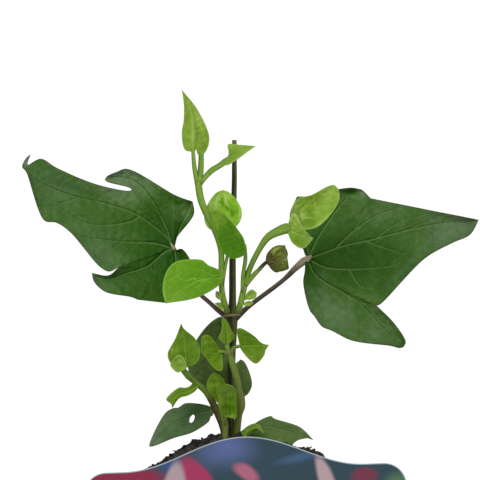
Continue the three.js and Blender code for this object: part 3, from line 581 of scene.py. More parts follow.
@dataclass(frozen=True)
class Blade:
    """A leaf blade: its lobes, how it lies, its finishes and drawn veins, and what shows on it.

    spacing is the distance between its points, midrib and midrib_strength are the half
    width and strength of the lobes' own veins, edge is how far its rim's colour reaches in,
    and deep_reach how far the deeper green goes from the attachment. seed fixes its random
    draws. hole is the x, z, half width, half height and lean to the right, in degrees, of an
    oval hole. Its round patches and streaks are painted light and shade.
    """

    lobes: tuple[Lobe, ...]
    hang: Hang
    skins: tuple[int, int]
    relief: Relief
    seed: int
    ribs: tuple[Rib, ...] = ()
    side_veins: SideVeins | None = None
    tints: tuple[PaintedShading, ...] = ()
    streaks: tuple[Streak, ...] = ()
    spacing: float = 0.25
    midrib: float = 0.32
    midrib_strength: float = 1.0
    edge: float = 0.45
    deep_reach: float = 6.0
    hole: tuple[float, float, float, float, float] | None = None

    def sheet(self) -> Surface:
        """The blade as a sheet with its faces to the viewer.

        Lines go from evenly spaced feet on each vein to evenly spaced points on its
        margins. A point's place on its line is the share out, and its foot's the share
        along.

        Returns:
            A sheet whose points are drawn x, drawn z and depth, with its marks.
        """
        sides = []
        for lobe in self.lobes:
            length = np.linalg.norm(np.diff(lobe.vein, axis=0), axis=1).sum()
            along = np.linspace(0, 1, max(10, round(length / self.spacing)) + 1)
            foot = spaced_along(lobe.vein, along)
            for side, margin in ((1, lobe.left), (0, lobe.right)):
                path, shares = (*margin.points, lobe.vein[-1]), (along - margin.hold) / (1 - margin.hold)
                rim = spaced_along(path, shares)
                width = np.linalg.norm(rim - foot, axis=1)[:, None]
                sides.append((foot[:, None], (rim - foot)[:, None], along[:, None], width, side, lobe.long))
        widest = max(width.max() for _, _, _, width, _, _ in sides)
        out = np.linspace(0, 1, max(8, round(widest / self.spacing)) + 1)
        points, triangles, held = [], [], []
        for foot, line, along, width, side, long in sides:
            flat = foot + line * out[None, :, None]
            marks = (along, out[None], width, side, long)
            held.append([np.broadcast_to(value, flat.shape[:2]).ravel() for value in marks])
            cells = grid_triangles(*flat.shape[:2])
            triangles.append((cells if side else cells[:, ::-1]) + sum(map(len, points)))
            points.append(np.insert(flat.reshape(-1, 2), 1, 0, axis=1))
        names = dict(zip(("along", "out", "width", "side", "long"), np.hstack(held)))
        sheet = welded(np.vstack(points), np.vstack(triangles), names).faces_viewer()
        sheet.points[:, 1] = self.hang.depth(sheet.points[:, ::2], self.lobes[0].vein[0], sheet.marks)
        return sheet if self.hole is None else self.pierced(sheet)

    def pierced(self, sheet: Surface) -> Surface:
        """Cuts the hole: drops the triangles inside it and moves its rim's points onto the oval.

        Args:
            sheet: The whole sheet.

        Returns:
            The sheet with its hole.
        """
        x, z, half_width, half_height, lean = self.hole
        right, up = sheet.points[:, 0] - x, sheet.points[:, 2] - z
        cos, sin = math.cos(math.radians(lean)), math.sin(math.radians(lean))
        reach = np.hypot((right * cos - up * sin) / half_width, (right * sin + up * cos) / half_height)
        inside = reach < 1
        kept = ~inside[sheet.triangles].all(axis=1)
        grow = np.where(inside, 1 / np.maximum(reach, TINY), 1)
        points = sheet.points.copy()
        points[:, 0], points[:, 2] = x + right * grow, z + up * grow
        used, corners = np.unique(sheet.triangles[kept], return_inverse=True)
        marks = {name: value[used] for name, value in sheet.marks.items()}
        return Surface(points[used], corners.reshape(-1, 3), marks)

    def vein_field(self, flat: Array, marks: Marks) -> tuple[Array, Array, Array]:
        """How strongly the veins show: their dark grooves, the lit lips beside them, and broadly.

        A drawn vein's groove is a bell curve of the distance over its width, moved towards the
        light by 0.3 of it, and its lip a narrower one, moved away by 0.8. Side veins are the
        crests of a cosine of the share along less the share out times the sweep.

        Args:
            flat: Drawn points.
            marks: The sheet's marks.

        Returns:
            The groove, the lip and the broad field, from 0 to 1.
        """
        groove, lip, broad = np.zeros((3, len(flat)))
        own = tuple(Rib(lobe.vein, self.midrib, self.midrib_strength) for lobe in self.lobes)
        for rib in own + self.ribs:
            gap, share, side = near_curve(flat, rib.path)
            width = rib.width * (1 - 0.6 * share)
            fade = rib.strength * (1 - 0.4 * share)
            place = side * gap / width
            groove = np.maximum(groove, fade * np.exp(-(((place + 0.3) / 0.9) ** 2)))
            lip = np.maximum(lip, fade * np.exp(-(((place - 0.8) / 0.5) ** 2)))
            broad = np.maximum(broad, fade * np.exp(-((gap / (2.2 + width)) ** 2)))
        pairs = self.side_veins
        if pairs is not None:
            along, out, side = marks["along"], marks["out"], marks["side"]
            bent = 0.16 * ripples(flat[:, 0], flat[:, 1], 6, self.seed + 30)
            phase = (pairs.pairs * (along - pairs.sweep * out**1.2) + 0.5 * side + bent) * 2 * np.pi
            fade = pairs.strength * smooth_step(out, 0, 0.08) * (1 - out) ** 0.6 * (1 - along**4)
            groove = np.maximum(groove, fade * (0.5 + 0.5 * np.cos(phase)) ** 24)
            lip = np.maximum(lip, fade * (0.5 + 0.5 * np.cos(phase - 0.6)) ** 24)
            broad = np.maximum(broad, fade * (0.5 + 0.5 * np.cos(phase)) ** 3)
        return groove, lip, broad

    def build(self) -> Surface:
        """The finished blade: veins sunk, the blade swollen between them, and a thin rim."""
        sheet = self.sheet()
        x, depth, z = sheet.points.T
        flat = np.column_stack([x, z])
        groove, lip, broad = self.vein_field(flat, sheet.marks)
        relief = self.relief
        from_rim = (1 - sheet.marks["out"]) * sheet.marks["width"]
        hold = smooth_step(from_rim, 0, 1.5)
        sink = (relief.groove * groove + relief.quilt * broad) * hold
        sink += relief.wave * ripples(x, z, relief.wave_length, self.seed)
        sink += relief.crumple * ripples(x, z, relief.crumple_length, self.seed + 50) * hold
        # The tone mark is a random mottle plus painted light (over 0) and painted shade (below 0) from the
        # streaks and round patches; the second sum is a painted grey sheen.
        tone = 0.14 * ripples(x, z, 9.0, self.seed + 80) + 0.12 * ripples(x, z, 3.0, self.seed + 90)
        haze = np.zeros(len(x))
        # Each streak paints light where its amount is over 0 and shade where it is below, in a soft band
        # along its path.
        for streak in self.streaks:
            gap, share, _ = near_curve(flat, streak.path, steps=14)
            near = np.exp(-((gap / streak.width) ** 2)) * (0.35 + 0.65 * np.sin(np.pi * share))
            tone, haze = tone + streak.amount * near, haze + streak.haze * near
            sink = sink + streak.dip * near
        # Each round patch paints light where its amount is over 0 and shade where it is below, and a grey
        # sheen.
        for tint in self.tints:
            near = np.exp(-((x - tint.x) ** 2 + (z - tint.z) ** 2) / tint.reach**2)
            tone, haze = tone + tint.amount * near, haze + tint.haze * near
        away = np.linalg.norm(flat - np.asarray(self.lobes[0].vein[0], float), axis=1)
        # The vein and lip marks paint shade along each vein's groove and a highlight on its lip beside it, on
        # the side away from the light; the same fields sink the veins.
        marks = {"vein": groove, "lip": lip, "rim": 1 - smooth_step(from_rim, 0.1 * self.edge, self.edge),
            "base": np.exp(-((away / self.deep_reach) ** 1.5)), "tone": tone, "haze": haze}
        placed = Surface(seen(x, z, depth + sink), sheet.triangles, marks)
        taper = BLADE_THICKNESS * (0.45 + 0.55 * smooth_step(from_rim, 0, 0.8))
        return thickened(placed, taper, self.skins)


def leaf(
    vein: Path, left: Path, right: Path, hang: Hang, skins: tuple[int, int],
    side_veins: SideVeins | None = None, relief: Relief = SOFT, **more: object,
) -> Blade:
    """A blade with one vein, whose two margins run from its start to its tip.

    Args:
        vein: The vein, the height of whose start fixes the random draws.
        left: The points of the margin on the left of it, without its ends.
        right: The same on the right.
        hang: How the blade lies.
        skins: The finishes of its front and its back.
        side_veins: Its side veins, where they show.
        relief: Its relief.
        more: Any other fields of the blade.

    Returns:
        The blade.
    """
    lobe = Lobe(vein, Margin((vein[0], *left)), Margin((vein[0], *right)))
    seed = round(10 * vein[0][1])
    return Blade((lobe,), hang, skins, relief, seed, side_veins=side_veins, **more)


# Finishes.


def linear(colour: str) -> tuple[float, float, float, float]:
    """Turns an sRGB hex colour to the linear values that a shader takes.

    Args:
        colour: The colour, as "#rrggbb".

    Returns:
        Linear red, green and blue, and an alpha of 1.
    """
    parts = [int(colour[k : k + 2], 16) / 255 for k in (1, 3, 5)]
    red, green, blue = (p / 12.92 if p <= 0.04045 else ((p + 0.055) / 1.055) ** 2.4 for p in parts)
    return red, green, blue, 1.0


def feed(node: bpy.types.Node, inputs: Inputs) -> None:
    """Gives a node's inputs their values.

    Args:
        node: The node.
        inputs: For each input, by name or number, its value or the socket that feeds it.
    """
    for name, value in inputs.items():
        if isinstance(value, Socket):
            node.id_data.links.new(value, node.inputs[name])
        else:
            node.inputs[name].default_value = value


def add(tree: Tree, kind: str, inputs: Inputs, output: int | str = 0, **settings: str) -> Socket:
    """Adds a node to a tree.

    Args:
        tree: The node tree.
        kind: The node's type, without the word ShaderNode.
        inputs: Its inputs, as feed() takes them.
        output: The name or number of the output that is wanted.
        settings: Its own settings.

    Returns:
        The output's socket.
    """
    node = tree.nodes.new("ShaderNode" + kind)
    for name, value in settings.items():
        setattr(node, name, value)
    feed(node, inputs)
    return node.outputs[output]


def read_marks(tree: Tree, *names: str) -> list[Socket]:
    """The sockets that read a piece's own marks, in the order of their names."""
    return [add(tree, "Attribute", {}, "Fac", attribute_name=name) for name in names]


def grain(tree: Tree, size: float, detail: float = 3.0, stretch: Triple = (1, 1, 1)) -> Socket:
    """Noise on object coordinates whose lumps are about size millimetres across.

    Args:
        tree: The node tree.
        size: Size of a lump in millimetres.
        detail: How many finer layers it has.
        stretch: Scale of the noise along X, Y and Z.

    Returns:
        The noise value's socket.
    """
    place = add(tree, "TexCoord", {}, "Object")
    scaled = add(tree, "Mapping", {"Vector": place, "Scale": stretch})
    inputs = {"Vector": scaled, "Scale": 1 / (size * MM), "Detail": detail, "Roughness": 0.55}
    return add(tree, "TexNoise", inputs, "Fac")


def empty(name: str) -> tuple[Material, Tree]:
    """Makes a material with nothing but its principled shader.

    Args:
        name: Its name.

    Returns:
        The material and its node tree.
    """
    material = bpy.data.materials.new(name)
    material.use_nodes = True
    return material, material.node_tree


def finished(
    material: Material, ground: str, layers: list[Layer], rough: Span, bumps: list[Bump],
    ior: float = 1.5, gloss: float = 0.5,
) -> Material:
    """Feeds the principled shader of a material.

    Args:
        material: The material.
        ground: Hex colour of the ground.
        layers: For each colour over it a socket, the socket's values where the colour
            starts and where it is full, its strength when full, and the hex colour.
        rough: A socket, its lowest and its highest value, and the roughness at each.
        bumps: For each bump, the lowest first, the socket of its height, its distance in
            millimetres and its strength.
        ior: Index of refraction.
        gloss: Specular level.

    Returns:
        The material.
    """
    tree, colour = material.node_tree, linear(ground)
    for source, start, full, strength, over in layers:
        share = add(tree, "MapRange", {0: source, 1: start, 2: full, 3: 0, 4: strength})
        colour = add(tree, "Mix", {0: share, 6: colour, 7: linear(over)}, 2, data_type="RGBA")
    inputs = {"Base Color": colour, "IOR": ior, "Specular IOR Level": gloss}
    inputs["Roughness"] = add(tree, "MapRange", dict(enumerate(rough)))
    for height, distance, strength in bumps:
        under = {"Normal": inputs["Normal"]} if "Normal" in inputs else {}
        own = {"Height": height, "Distance": distance * MM, "Strength": strength}
        inputs["Normal"] = add(tree, "Bump", own | under)
    feed(tree.nodes["Principled BSDF"], inputs)
    return material


@dataclass(frozen=True)
class LeafFinish:
    """Living leaf tissue, grown: a waxy skin over green cells, with sunk veins.

    The eye gets a satin green, mottled between the veins and deeper at the attachment, with
    painted light and painted shade where the blade's tone mark says, and a painted grey sheen.
    A vein is a sunk groove with painted shade in it and a painted highlight on its lip, and
    between veins lie a faint net of cells, net millimetres wide, that swell a little, and a
    finer one within it. The thin rim is a dark outline of painted shade on old leaves, and on
    young ones a pale edge, partly their down and partly a painted highlight. On bud scales the
    groove colour is their dark veins and the sheen colour a pale brown at their tips.
    """

    name: str
    blade: str
    # The second and third colours paint shade and light by the tone mark, and also darken the mottle and
    # lighten fine flecks; on the leaves lip paints a highlight beside each vein and groove paints shade in
    # its groove, and groove also colours the veinlet nets.
    mottle_and_painted_shade: str
    fleck_and_painted_light: str
    deep: str
    lip: str
    groove: str
    rim: str
    # The sheen colour is painted: a grey sheen on the leaves, and on bud scales a pale brown at their tips.
    haze: str = "#7c8c78"
    roughness: float = 0.5
    gloss: float = 0.16
    net: float = 3.0
    net_strength: float = 0.25
    net_height: float = 0.2
    lip_highlight_strength: float = 0.4
    groove_strength: float = 0.65
    rim_strength: float = 0.6

    def build(self) -> Material:
        """Makes the material from the blade's marks and from fine noise."""
        material, tree = empty(self.name)
        tone, haze, base, vein, lip, rim = read_marks(tree, "tone", "haze", "base", "vein", "lip", "rim")
        mottle, fine = grain(tree, 2.2), grain(tree, 0.6, 2.0)
        nets = []
        for size in (self.net, 0.37 * self.net):
            inputs = {"Vector": add(tree, "TexCoord", {}, "Object"), "Scale": 1 / (size * MM)}
            nets.append(add(tree, "TexVoronoi", inputs, "Distance", feature="DISTANCE_TO_EDGE"))
        # Over the blade colour go a random mottle and flecks, the deeper green at the attachment, painted
        # light and painted shade by the tone mark, a painted grey sheen, the veinlet nets, painted shade in
        # the vein grooves, a painted highlight on their lips, and the rim colour.
        layers = [
            (mottle, 0.4, 0.7, 0.3, self.mottle_and_painted_shade), (fine, 0.48, 0.75, 0.28, self.fleck_and_painted_light),
            (base, 0, 1, 1, self.deep), (tone, 0, 1, 0.9, self.fleck_and_painted_light), (tone, 0, -1, 0.9, self.mottle_and_painted_shade),
            (haze, 0, 1, 0.9, self.haze), (nets[0], 0.14, 0, self.net_strength, self.groove),
            (nets[1], 0.2, 0, 0.6 * self.net_strength, self.groove),
            (vein, 0.08, 0.9, self.groove_strength, self.groove),
            (lip, 0.08, 0.9, self.lip_highlight_strength, self.lip), (rim, 0.2, 1, self.rim_strength, self.rim),
        ]
        rough = (mottle, 0.3, 0.7, self.roughness - 0.06, self.roughness + 0.08)
        swell = add(tree, "MapRange", {0: nets[0], 2: 0.3})
        bumps = [(swell, self.net_height, 0.6), (nets[1], 0.4 * self.net_height, 0.5), (fine, 0.05, 0.4)]
        return finished(material, self.blade, layers, rough, bumps, 1.42, self.gloss)


@dataclass(frozen=True)
class StemFinish:
    """A stem's skin: soft green when young, then bark in fine lengthwise ridges.

    Two tones go round the stem from its left to its right side as seen from the front:
    painted light on one side and painted shade on the other, as light falls on it. Streaks
    run along it, and a third tone from end_from to end_to of its length on. streak is the
    distance between streaks in millimetres.
    """

    name: str
    left: str
    right: str
    streaks: str
    end: str
    edge: float = 0.0
    soft: float = 0.8
    end_from: float = 0.9
    end_to: float = 1.0
    roughness: float = 0.6
    streak: float = 0.5

    def build(self) -> Material:
        """Makes the material from the marks right and along and from stretched noise."""
        material, tree = empty(self.name)
        right, along = read_marks(tree, "right", "along")
        lines, blotch = grain(tree, self.streak, 2.0, (1, 1, 0.12)), grain(tree, 2.4)
        # The left and right colours paint the stem's two sides lighter and darker as light falls.
        wavy = add(tree, "Math", {0: blotch, 1: 0.9, 2: right}, operation="MULTIPLY_ADD")
        middle = self.edge + 0.45
        layers = [
            (wavy, middle - self.soft, middle + self.soft, 1, self.right),
            (lines, 0.45, 0.72, 0.55, self.streaks), (along, self.end_from, self.end_to, 1, self.end),
        ]
        rough = (blotch, 0.3, 0.7, self.roughness - 0.08, self.roughness + 0.08)
        return finished(material, self.left, layers, rough, [(lines, 0.12, 0.6)], 1.42, 0.2)


@dataclass(frozen=True)
class PeatFinish:
    """Milled peat with bark fines, damp: near-black brown crumbs with paler dry faces."""

    name: str = "damp milled peat"
    dark: str = "#22201a"
    crumb: str = "#403c35"
    dry: str = "#4e473d"
    ash: str = "#544d45"

    def build(self) -> Material:
        """Makes the material. Crumbs are 1 to 3 mm, and tone says which are dry."""
        material, tree = empty(self.name)
        (tone,) = read_marks(tree, "tone")
        crumbs, flecks = grain(tree, 1.6, 5.0), grain(tree, 0.6, 2.0)
        layers = [(crumbs, 0.42, 0.62, 1, self.crumb), (tone, 0.1, 1, 0.8, self.dry),
            (flecks, 0.62, 0.74, 0.5, self.ash)]
        bumps = [(crumbs, 0.6, 0.7), (flecks, 0.25, 0.5)]
        return finished(material, self.dark, layers, (crumbs, 0.3, 0.7, 0.95, 0.72), bumps, 1.45, 0.2)


@dataclass(frozen=True)
class PlasticFinish:
    """Polypropylene, moulded or extruded: faint clouds and flow marks, a fine grain, and dust."""

    name: str
    body: str
    cloud: str
    dust: str
    rough: Pair
    relief: float

    def build(self) -> Material:
        """Makes the material with 14 mm clouds, 5 mm smears of dust and a 0.4 mm grain."""
        material, tree = empty(self.name)
        clouds, smear = grain(tree, 14, 3.0, (1, 1, 0.3)), grain(tree, 5, 5.0)
        layers = [(clouds, 0.4, 0.7, 1, self.cloud), (smear, 0.62, 0.8, 0.45, self.dust)]
        bumps = [(grain(tree, 0.4, 2.0), self.relief, 0.4)]
        return finished(material, self.body, layers, (smear, 0.35, 0.7, *self.rough), bumps, 1.49)


@dataclass(frozen=True)
class Patch:
    """A soft oval of colour in the label's print: its centre, half sizes, turn and softness."""

    x: float
    z: float
    half_width: float
    half_height: float
    turn: float
    colour: str
    strength: float = 1.0
    softness: float = 1.0


@dataclass(frozen=True)
class PrintFinish:
    """Printed polypropylene card under a satin film, out-of-focus colours with no sharp motif.

    The print ends just short of the cut edge, so that the white card shows as a fine line.
    face is the depth of the card's front, and noise moves the patches' edges by up to blur.
    """

    name: str = "printed polypropylene card"
    ground: str = "#24404d"
    card: str = "#9fb0b8"
    face: float = -45.9
    blur: float = 5.0
    patches: tuple[Patch, ...] = (Patch(-44, 96, 30, 16, 8, "#33415c", 0.9),
        Patch(-4, 107, 13, 9, -6, "#56659a", 0.9), Patch(-20, 101, 13, 6, 28, "#30508a", 0.8),
        Patch(28, 92, 34, 12, 4, "#1e3c42", 0.9), Patch(-38, 95, 22, 8, 4, "#861a40", 1, 0.4),
        Patch(-13, 98, 5, 9, -24, "#a02a58", 1, 0.4), Patch(-20, 97, 3.6, 8, 18, "#b39aa0", 0.9, 0.5),
        Patch(2, 99, 6, 3, 24, "#b8647f", 0.85, 0.6), Patch(27, 98, 3, 9, -22, "#b79aa2", 0.95, 0.5),
        Patch(38, 98.6, 5, 3, 0, "#7c2440", 0.8, 0.5), Patch(19, 104, 12, 2.6, -14, "#45668f", 0.6),
        Patch(48, 96, 6, 6, 0, "#5f8a4a", 0.8), Patch(-28, 66, 22, 18, 20, "#8c3459", 0.85, 0.8),
        Patch(20, 62, 20, 24, 12, "#3b5f8a", 0.8), Patch(-30, 28, 24, 16, -10, "#2f5c55", 0.9))

    def build(self) -> Material:
        """Makes the material: each patch is a ball of colour, stretched and turned."""
        material, tree = empty(self.name)
        place, (rim,) = add(tree, "TexCoord", {}, "Object"), read_marks(tree, "rim")
        shift = add(tree, "TexNoise", {"Vector": place, "Scale": 1 / (16 * MM), "Detail": 1.0}, "Color")
        inputs = {0: shift, 1: (self.blur * MM, 0, self.blur * MM), 2: place}
        blurred = add(tree, "VectorMath", inputs, operation="MULTIPLY_ADD")
        # The noise is 0.5 in the mean, so the patches move back by half of what it adds.
        back, layers = self.blur / 2, []
        for patch in self.patches:
            inputs = {
                "Vector": blurred,
                "Location": ((patch.x + back) * MM, self.face * MM, (patch.z + back) * MM),
                "Rotation": (0, math.radians(patch.turn), 0),
                "Scale": (patch.half_width * MM, 1, patch.half_height * MM),
            }
            turned = add(tree, "Mapping", inputs, vector_type="TEXTURE")
            ball = add(tree, "TexGradient", {"Vector": turned}, "Fac", gradient_type="SPHERICAL")
            inputs = {0: ball, 2: patch.softness}
            soft = add(tree, "MapRange", inputs, interpolation_type="SMOOTHSTEP")
            layers.append((soft, 0, 1, patch.strength, patch.colour))
        layers.append((rim, 0.4, 0.6, 1, self.card))
        rough, bumps = (grain(tree, 6, 4.0), 0.3, 0.75, 0.3, 0.42), [(grain(tree, 1.2, 2.0), 0.01, 0.3)]
        return finished(material, self.ground, layers, rough, bumps, 1.49)


Finish = LeafFinish | StemFinish | PeatFinish | PlasticFinish | PrintFinish
Finishes = tuple[Finish, ...]


def toned(base: LeafFinish, name: str, *tones: str, **more: float) -> LeafFinish:
    """A leaf finish made from another one.

    Args:
        base: The other one.
        name: The finish's name.
        tones: Its colours of blade, mottle and painted shade, flecks and painted light, deeper green, painted
            vein lip highlight, groove and rim.
        more: Its other fields that differ.

    Returns:
        The finish.
    """
    names = ("blade", "mottle_and_painted_shade", "fleck_and_painted_light", "deep", "lip", "groove", "rim")
    return replace(base, name=name, **dict(zip(names, tones)), **more)


# Injection moulded from recycled pellets, so black with a satin grain; and sheet, die cut, satin white.
POT_BLACK = PlasticFinish("moulded recycled polypropylene", "#1b1d1f", "#26292c", "#4d463d", (0.38, 0.62),
    0.05)
CARD_WHITE = PlasticFinish("white polypropylene sheet", "#dfe3e2", "#c9ccc7", "#d3d6d3", (0.34, 0.48), 0.02)
# In the leaf finishes the second and third colours are painted shade and light as well as mottle and flecks,
# the fifth a painted highlight on the vein lips, the sixth painted shade in the vein grooves, and the rim
# colour on old leaves a dark outline of painted shade.
OLD_LEAF_LEFT = LeafFinish("mature leaf, upper side", "#3b641a", "#274e0e", "#5e7e44", "#1e4d02", "#6f904d",
    "#20410b", "#46472c", gloss=0.12, net_strength=0.14, net_height=0.3, lip_highlight_strength=0.5)
OLD_LEAF_RIGHT = toned(OLD_LEAF_LEFT, "mature leaf, upper side, greyer",
    "#436825", "#27500d", "#637d55", "#265703", "#809e5a", "#21420d", "#484538")
OLD_LEAF_UNDER = toned(OLD_LEAF_LEFT, "mature leaf, underside",
    "#6f8f5a", "#60804c", "#84a070", "#62834a", "#93aa7a", "#587742", "#60704c", roughness=0.62)
LOW_LEAF = toned(OLD_LEAF_LEFT, "weathered leaf, upper side",
    "#4b673d", "#3a552c", "#697d4e", "#405d2e", "#698354", "#354d28", "#54593f")
LOW_LEAF_RIGHT = toned(LOW_LEAF, "weathered leaf, upper side, lighter",
    "#557137", "#445e2b", "#6f854e", "#4a662a", "#6e8351", "#3c5626", "#646a46")
BACK_LEAF = toned(OLD_LEAF_LEFT, "shaded leaf, upper side",
    "#5e753d", "#4b602f", "#78904d", "#526d31", "#748d4d", "#405329", "#616c48")
BROAD_LEAF = LeafFinish("young leaf, broad", "#689c18", "#578b0e", "#87b440", "#5c9213", "#90c34a",
    "#4f8710", "#84b450", roughness=0.46, net=1.8, net_strength=0.12, net_height=0.1, lip_highlight_strength=0.8)
TONGUE_LEAF = toned(BROAD_LEAF, "young leaf, glossy",
    "#4b7e08", "#396d02", "#739a2d", "#4c7d08", "#5e8c19", "#3d7106", "#73a039", roughness=0.38)
ROUND_LEAF = toned(BROAD_LEAF, "young leaf, crumpled",
    "#87b824", "#588f05", "#b9db6f", "#7dae24", "#b3d967", "#559606", "#9cca57")
PALE_LEAF = toned(BROAD_LEAF, "young leaf, downy",
    "#82a334", "#5f8317", "#aac263", "#83a23a", "#aac872", "#628c20", "#9cbe64", roughness=0.58)
SHOOT_LEAF = toned(BROAD_LEAF, "young leaf, low on the plant",
    "#5d810c", "#436802", "#8aa43e", "#5a800d", "#88a438", "#426503", "#91a951", roughness=0.5,
    rim_strength=0.35)
YOUNG_UNDER = toned(BROAD_LEAF, "young leaf, underside",
    "#8aad5c", "#7a9e4c", "#9fbe74", "#86a858", "#acc684", "#7a9c4c", "#94b468", roughness=0.6)
# In each stem finish the first two colours paint light and shade on the stem's left and right sides as seen
# from the front.
OLD_STEM = StemFinish("ridged stem, lignified", "#302d18", "#5b6339", "#3a3822", "#7a6244", edge=0.12,
    soft=0.25, end_from=0.98, roughness=0.62)
PETIOLE = StemFinish("leaf stalk, brown", "#64584a", "#3c3226", "#6a5f50", "#a3977f", end_from=0.42,
    end_to=0.62)
JOINT_SKIN = StemFinish("stem joint, bare and weathered", "#7a755a", "#8a8668", "#6a6448", "#7a765c",
    roughness=0.66)
GREEN_STEM = StemFinish("young stem, soft", "#688d2a", "#8cae4a", "#5b7f2c", "#5c6630", end_from=0.16,
    end_to=0.0, roughness=0.55)
OLIVE_STEM = StemFinish("young stem, ripening", "#667a2c", "#84884c", "#566628", "#6f9434", end_from=0.6)
BROWN_STEM = StemFinish("young stem, brown at the foot", "#53432f", "#6c6e38", "#443626", "#6c8c34",
    edge=-0.1, soft=0.4, end_from=0.48, end_to=0.6)
# On the bud scales the sixth colour is their dark veins and the sheen colour a pale brown at their tips.
BUD_SCALE = LeafFinish("bud scale, olive", "#6e8727", "#4b541d", "#92ad42", "#483525", "#86934c", "#46391e",
    "#5e5231", haze="#a89468", roughness=0.6, net=0.9, net_strength=0.3, groove_strength=0.9)
BUD_STALK_SKIN = StemFinish("bud stalk, darkened", "#64802c", "#82984a", "#4a4228", "#40342a", end_from=0.05,
    end_to=0.5)


def mesh_of(name: str, surface: Surface) -> bpy.types.Mesh:
    """Makes a mesh in metres from a surface in millimetres.

    Args:
        name: The mesh's name.
        surface: The surface.

    Returns:
        The mesh.
    """
    mesh = bpy.data.meshes.new(name)
    mesh.from_pydata(surface.points * MM, [], surface.triangles)
    return mesh


def put(name: str, data: bpy.types.ID) -> Object:
    """Makes an object and puts it in the scene.

    Args:
        name: Its name.
        data: Its mesh, lamp or camera.

    Returns:
        The object.
    """
    thing = bpy.data.objects.new(name, data)
    bpy.context.scene.collection.objects.link(thing)
    return thing


def make_piece(name: str, surface: Surface, finishes: Finishes, node: str) -> Object:
    """Makes the Blender object of a piece, puts it under the root body and hides the node of the frame that
    it stands for.

    Args:
        name: The piece's name.
        surface: Its surface in millimetres.
        finishes: Its finishes, in the order of the surface's skins.
        node: The node of the frame that it stands for, whose imported part it hides.

    Returns:
        The object, at the origin with its place in its mesh.
    """
    mesh = mesh_of(name, surface)
    mesh.shade_smooth()
    for finish in finishes:
        known = bpy.data.materials.get(finish.name)
        mesh.materials.append(known if known is not None else finish.build())
    mesh.polygons.foreach_set("material_index", surface.skins.astype(np.int32))
    for mark_name, values in surface.marks.items():
        layer = mesh.attributes.new(mark_name, "FLOAT", "POINT")
        layer.data.foreach_set("value", values.astype(np.float32))
    if len(surface.creases):
        ends = np.zeros(len(mesh.edges) * 2, np.int32)
        mesh.edges.foreach_get("vertices", ends)
        pair = np.array([len(surface.points), 1])
        keys = np.sort(ends.reshape(-1, 2), axis=1) @ pair
        sharp = np.isin(keys, np.sort(surface.creases, axis=1) @ pair)
        mesh.edges.foreach_set("use_edge_sharp", sharp)
    mesh.update()
    piece = put(name, mesh)
    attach(piece, "root")
    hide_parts(node)
    LOG.info("%s: %d triangles", name, len(surface.triangles))
    return piece


@dataclass
class Part:
    """What all parts share: the name of the piece, the node it stands for, and its finishes."""

    name: str
    node: str
    finishes: Finishes

    def dress(self, surface: Surface) -> Object:
        """Makes the piece, with each finish on the triangles whose skin is its place."""
        return make_piece(self.name, surface, self.finishes, self.node)


# The main stem and the old leaves.


@dataclass
class MainStem(Part):
    """The old climbing stem with its cut tip, its swollen joint and the two brown leaf stalks."""

    name: str = "ridged_main_stem"
    node: str = "main_stem"
    finishes: Finishes = (OLD_STEM, PETIOLE, JOINT_SKIN)
    stem: Path = ((-3, 76.4, 0, 1.1), (-3, 105, 0, 1.1), (-3.1, 120, -0.2, 1.15), (-2.7, 134, 0, 1.2),
        (-2.4, 140, 0.3, 1.25), (-2.7, 146, 0.7, 1.9), (-2.6, 147.8, 0.8, 1.35), (-2.5, 151, 1, 1.1),
        (-2.5, 160, 1.2, 1.05), (-2.4, 172, 1.6, 0.95), (-1.9, 190, 2.4, 0.8), (-1.9, 204.3, 3, 0.7))
    left_stalk: Path = ((-3.2, 144.6, 0.8, 1.1), (-6.4, 146.8, 2, 0.8), (-10, 150, 4, 0.7),
        (-14, 153.6, 6.2, 0.7), (-17.6, 158.6, 8, 0.75), (-20.4, 164, 8.4, 0.8), (-22, 168.2, 6.6, 0.6),
        (-23.2, 170, 7, 0.25))
    right_stalk: Path = ((-1.8, 144.6, 0.8, 1.1), (2.7, 148.7, 1.8, 0.75), (14.6, 157.8, 4.7, 0.72),
        (18.6, 161.7, 5.3, 1), (21.2, 163.9, 5.6, 1.25), (22.8, 165, 6, 0.9), (23.8, 165.8, 6.3, 0.3))
    joint: Triple = (-2.7, -0.4, 145.9)
    joint_size: Triple = (3.1, 2.6, 0.55)
    joint_lean: float = 0.36

    def ring(self) -> Surface:
        """The pale ring at the joint: a ball of 10 by 32 points, flattened and widened."""
        down = np.linspace(0.2, np.pi - 0.2, 10)
        ball = level_rings(np.sin(down), np.cos(down), 32)
        ball[..., 2] += self.joint_lean * ball[..., 0]
        x, y, z = np.moveaxis(self.joint + ball * self.joint_size, 2, 0)
        return turned_closed(seen(x, z, y), {"along": np.ones(x.shape)})

    def build(self) -> Surface:
        """The stem with its ribs, the ring at its joint and the two stalks."""
        stem, stalks = tube(self.stem, 0.09, 36), (self.left_stalk, self.right_stalk)
        return joined([stem, self.ring().skinned(2), *(tube(path, 0.06, 24).skinned(1) for path in stalks)])


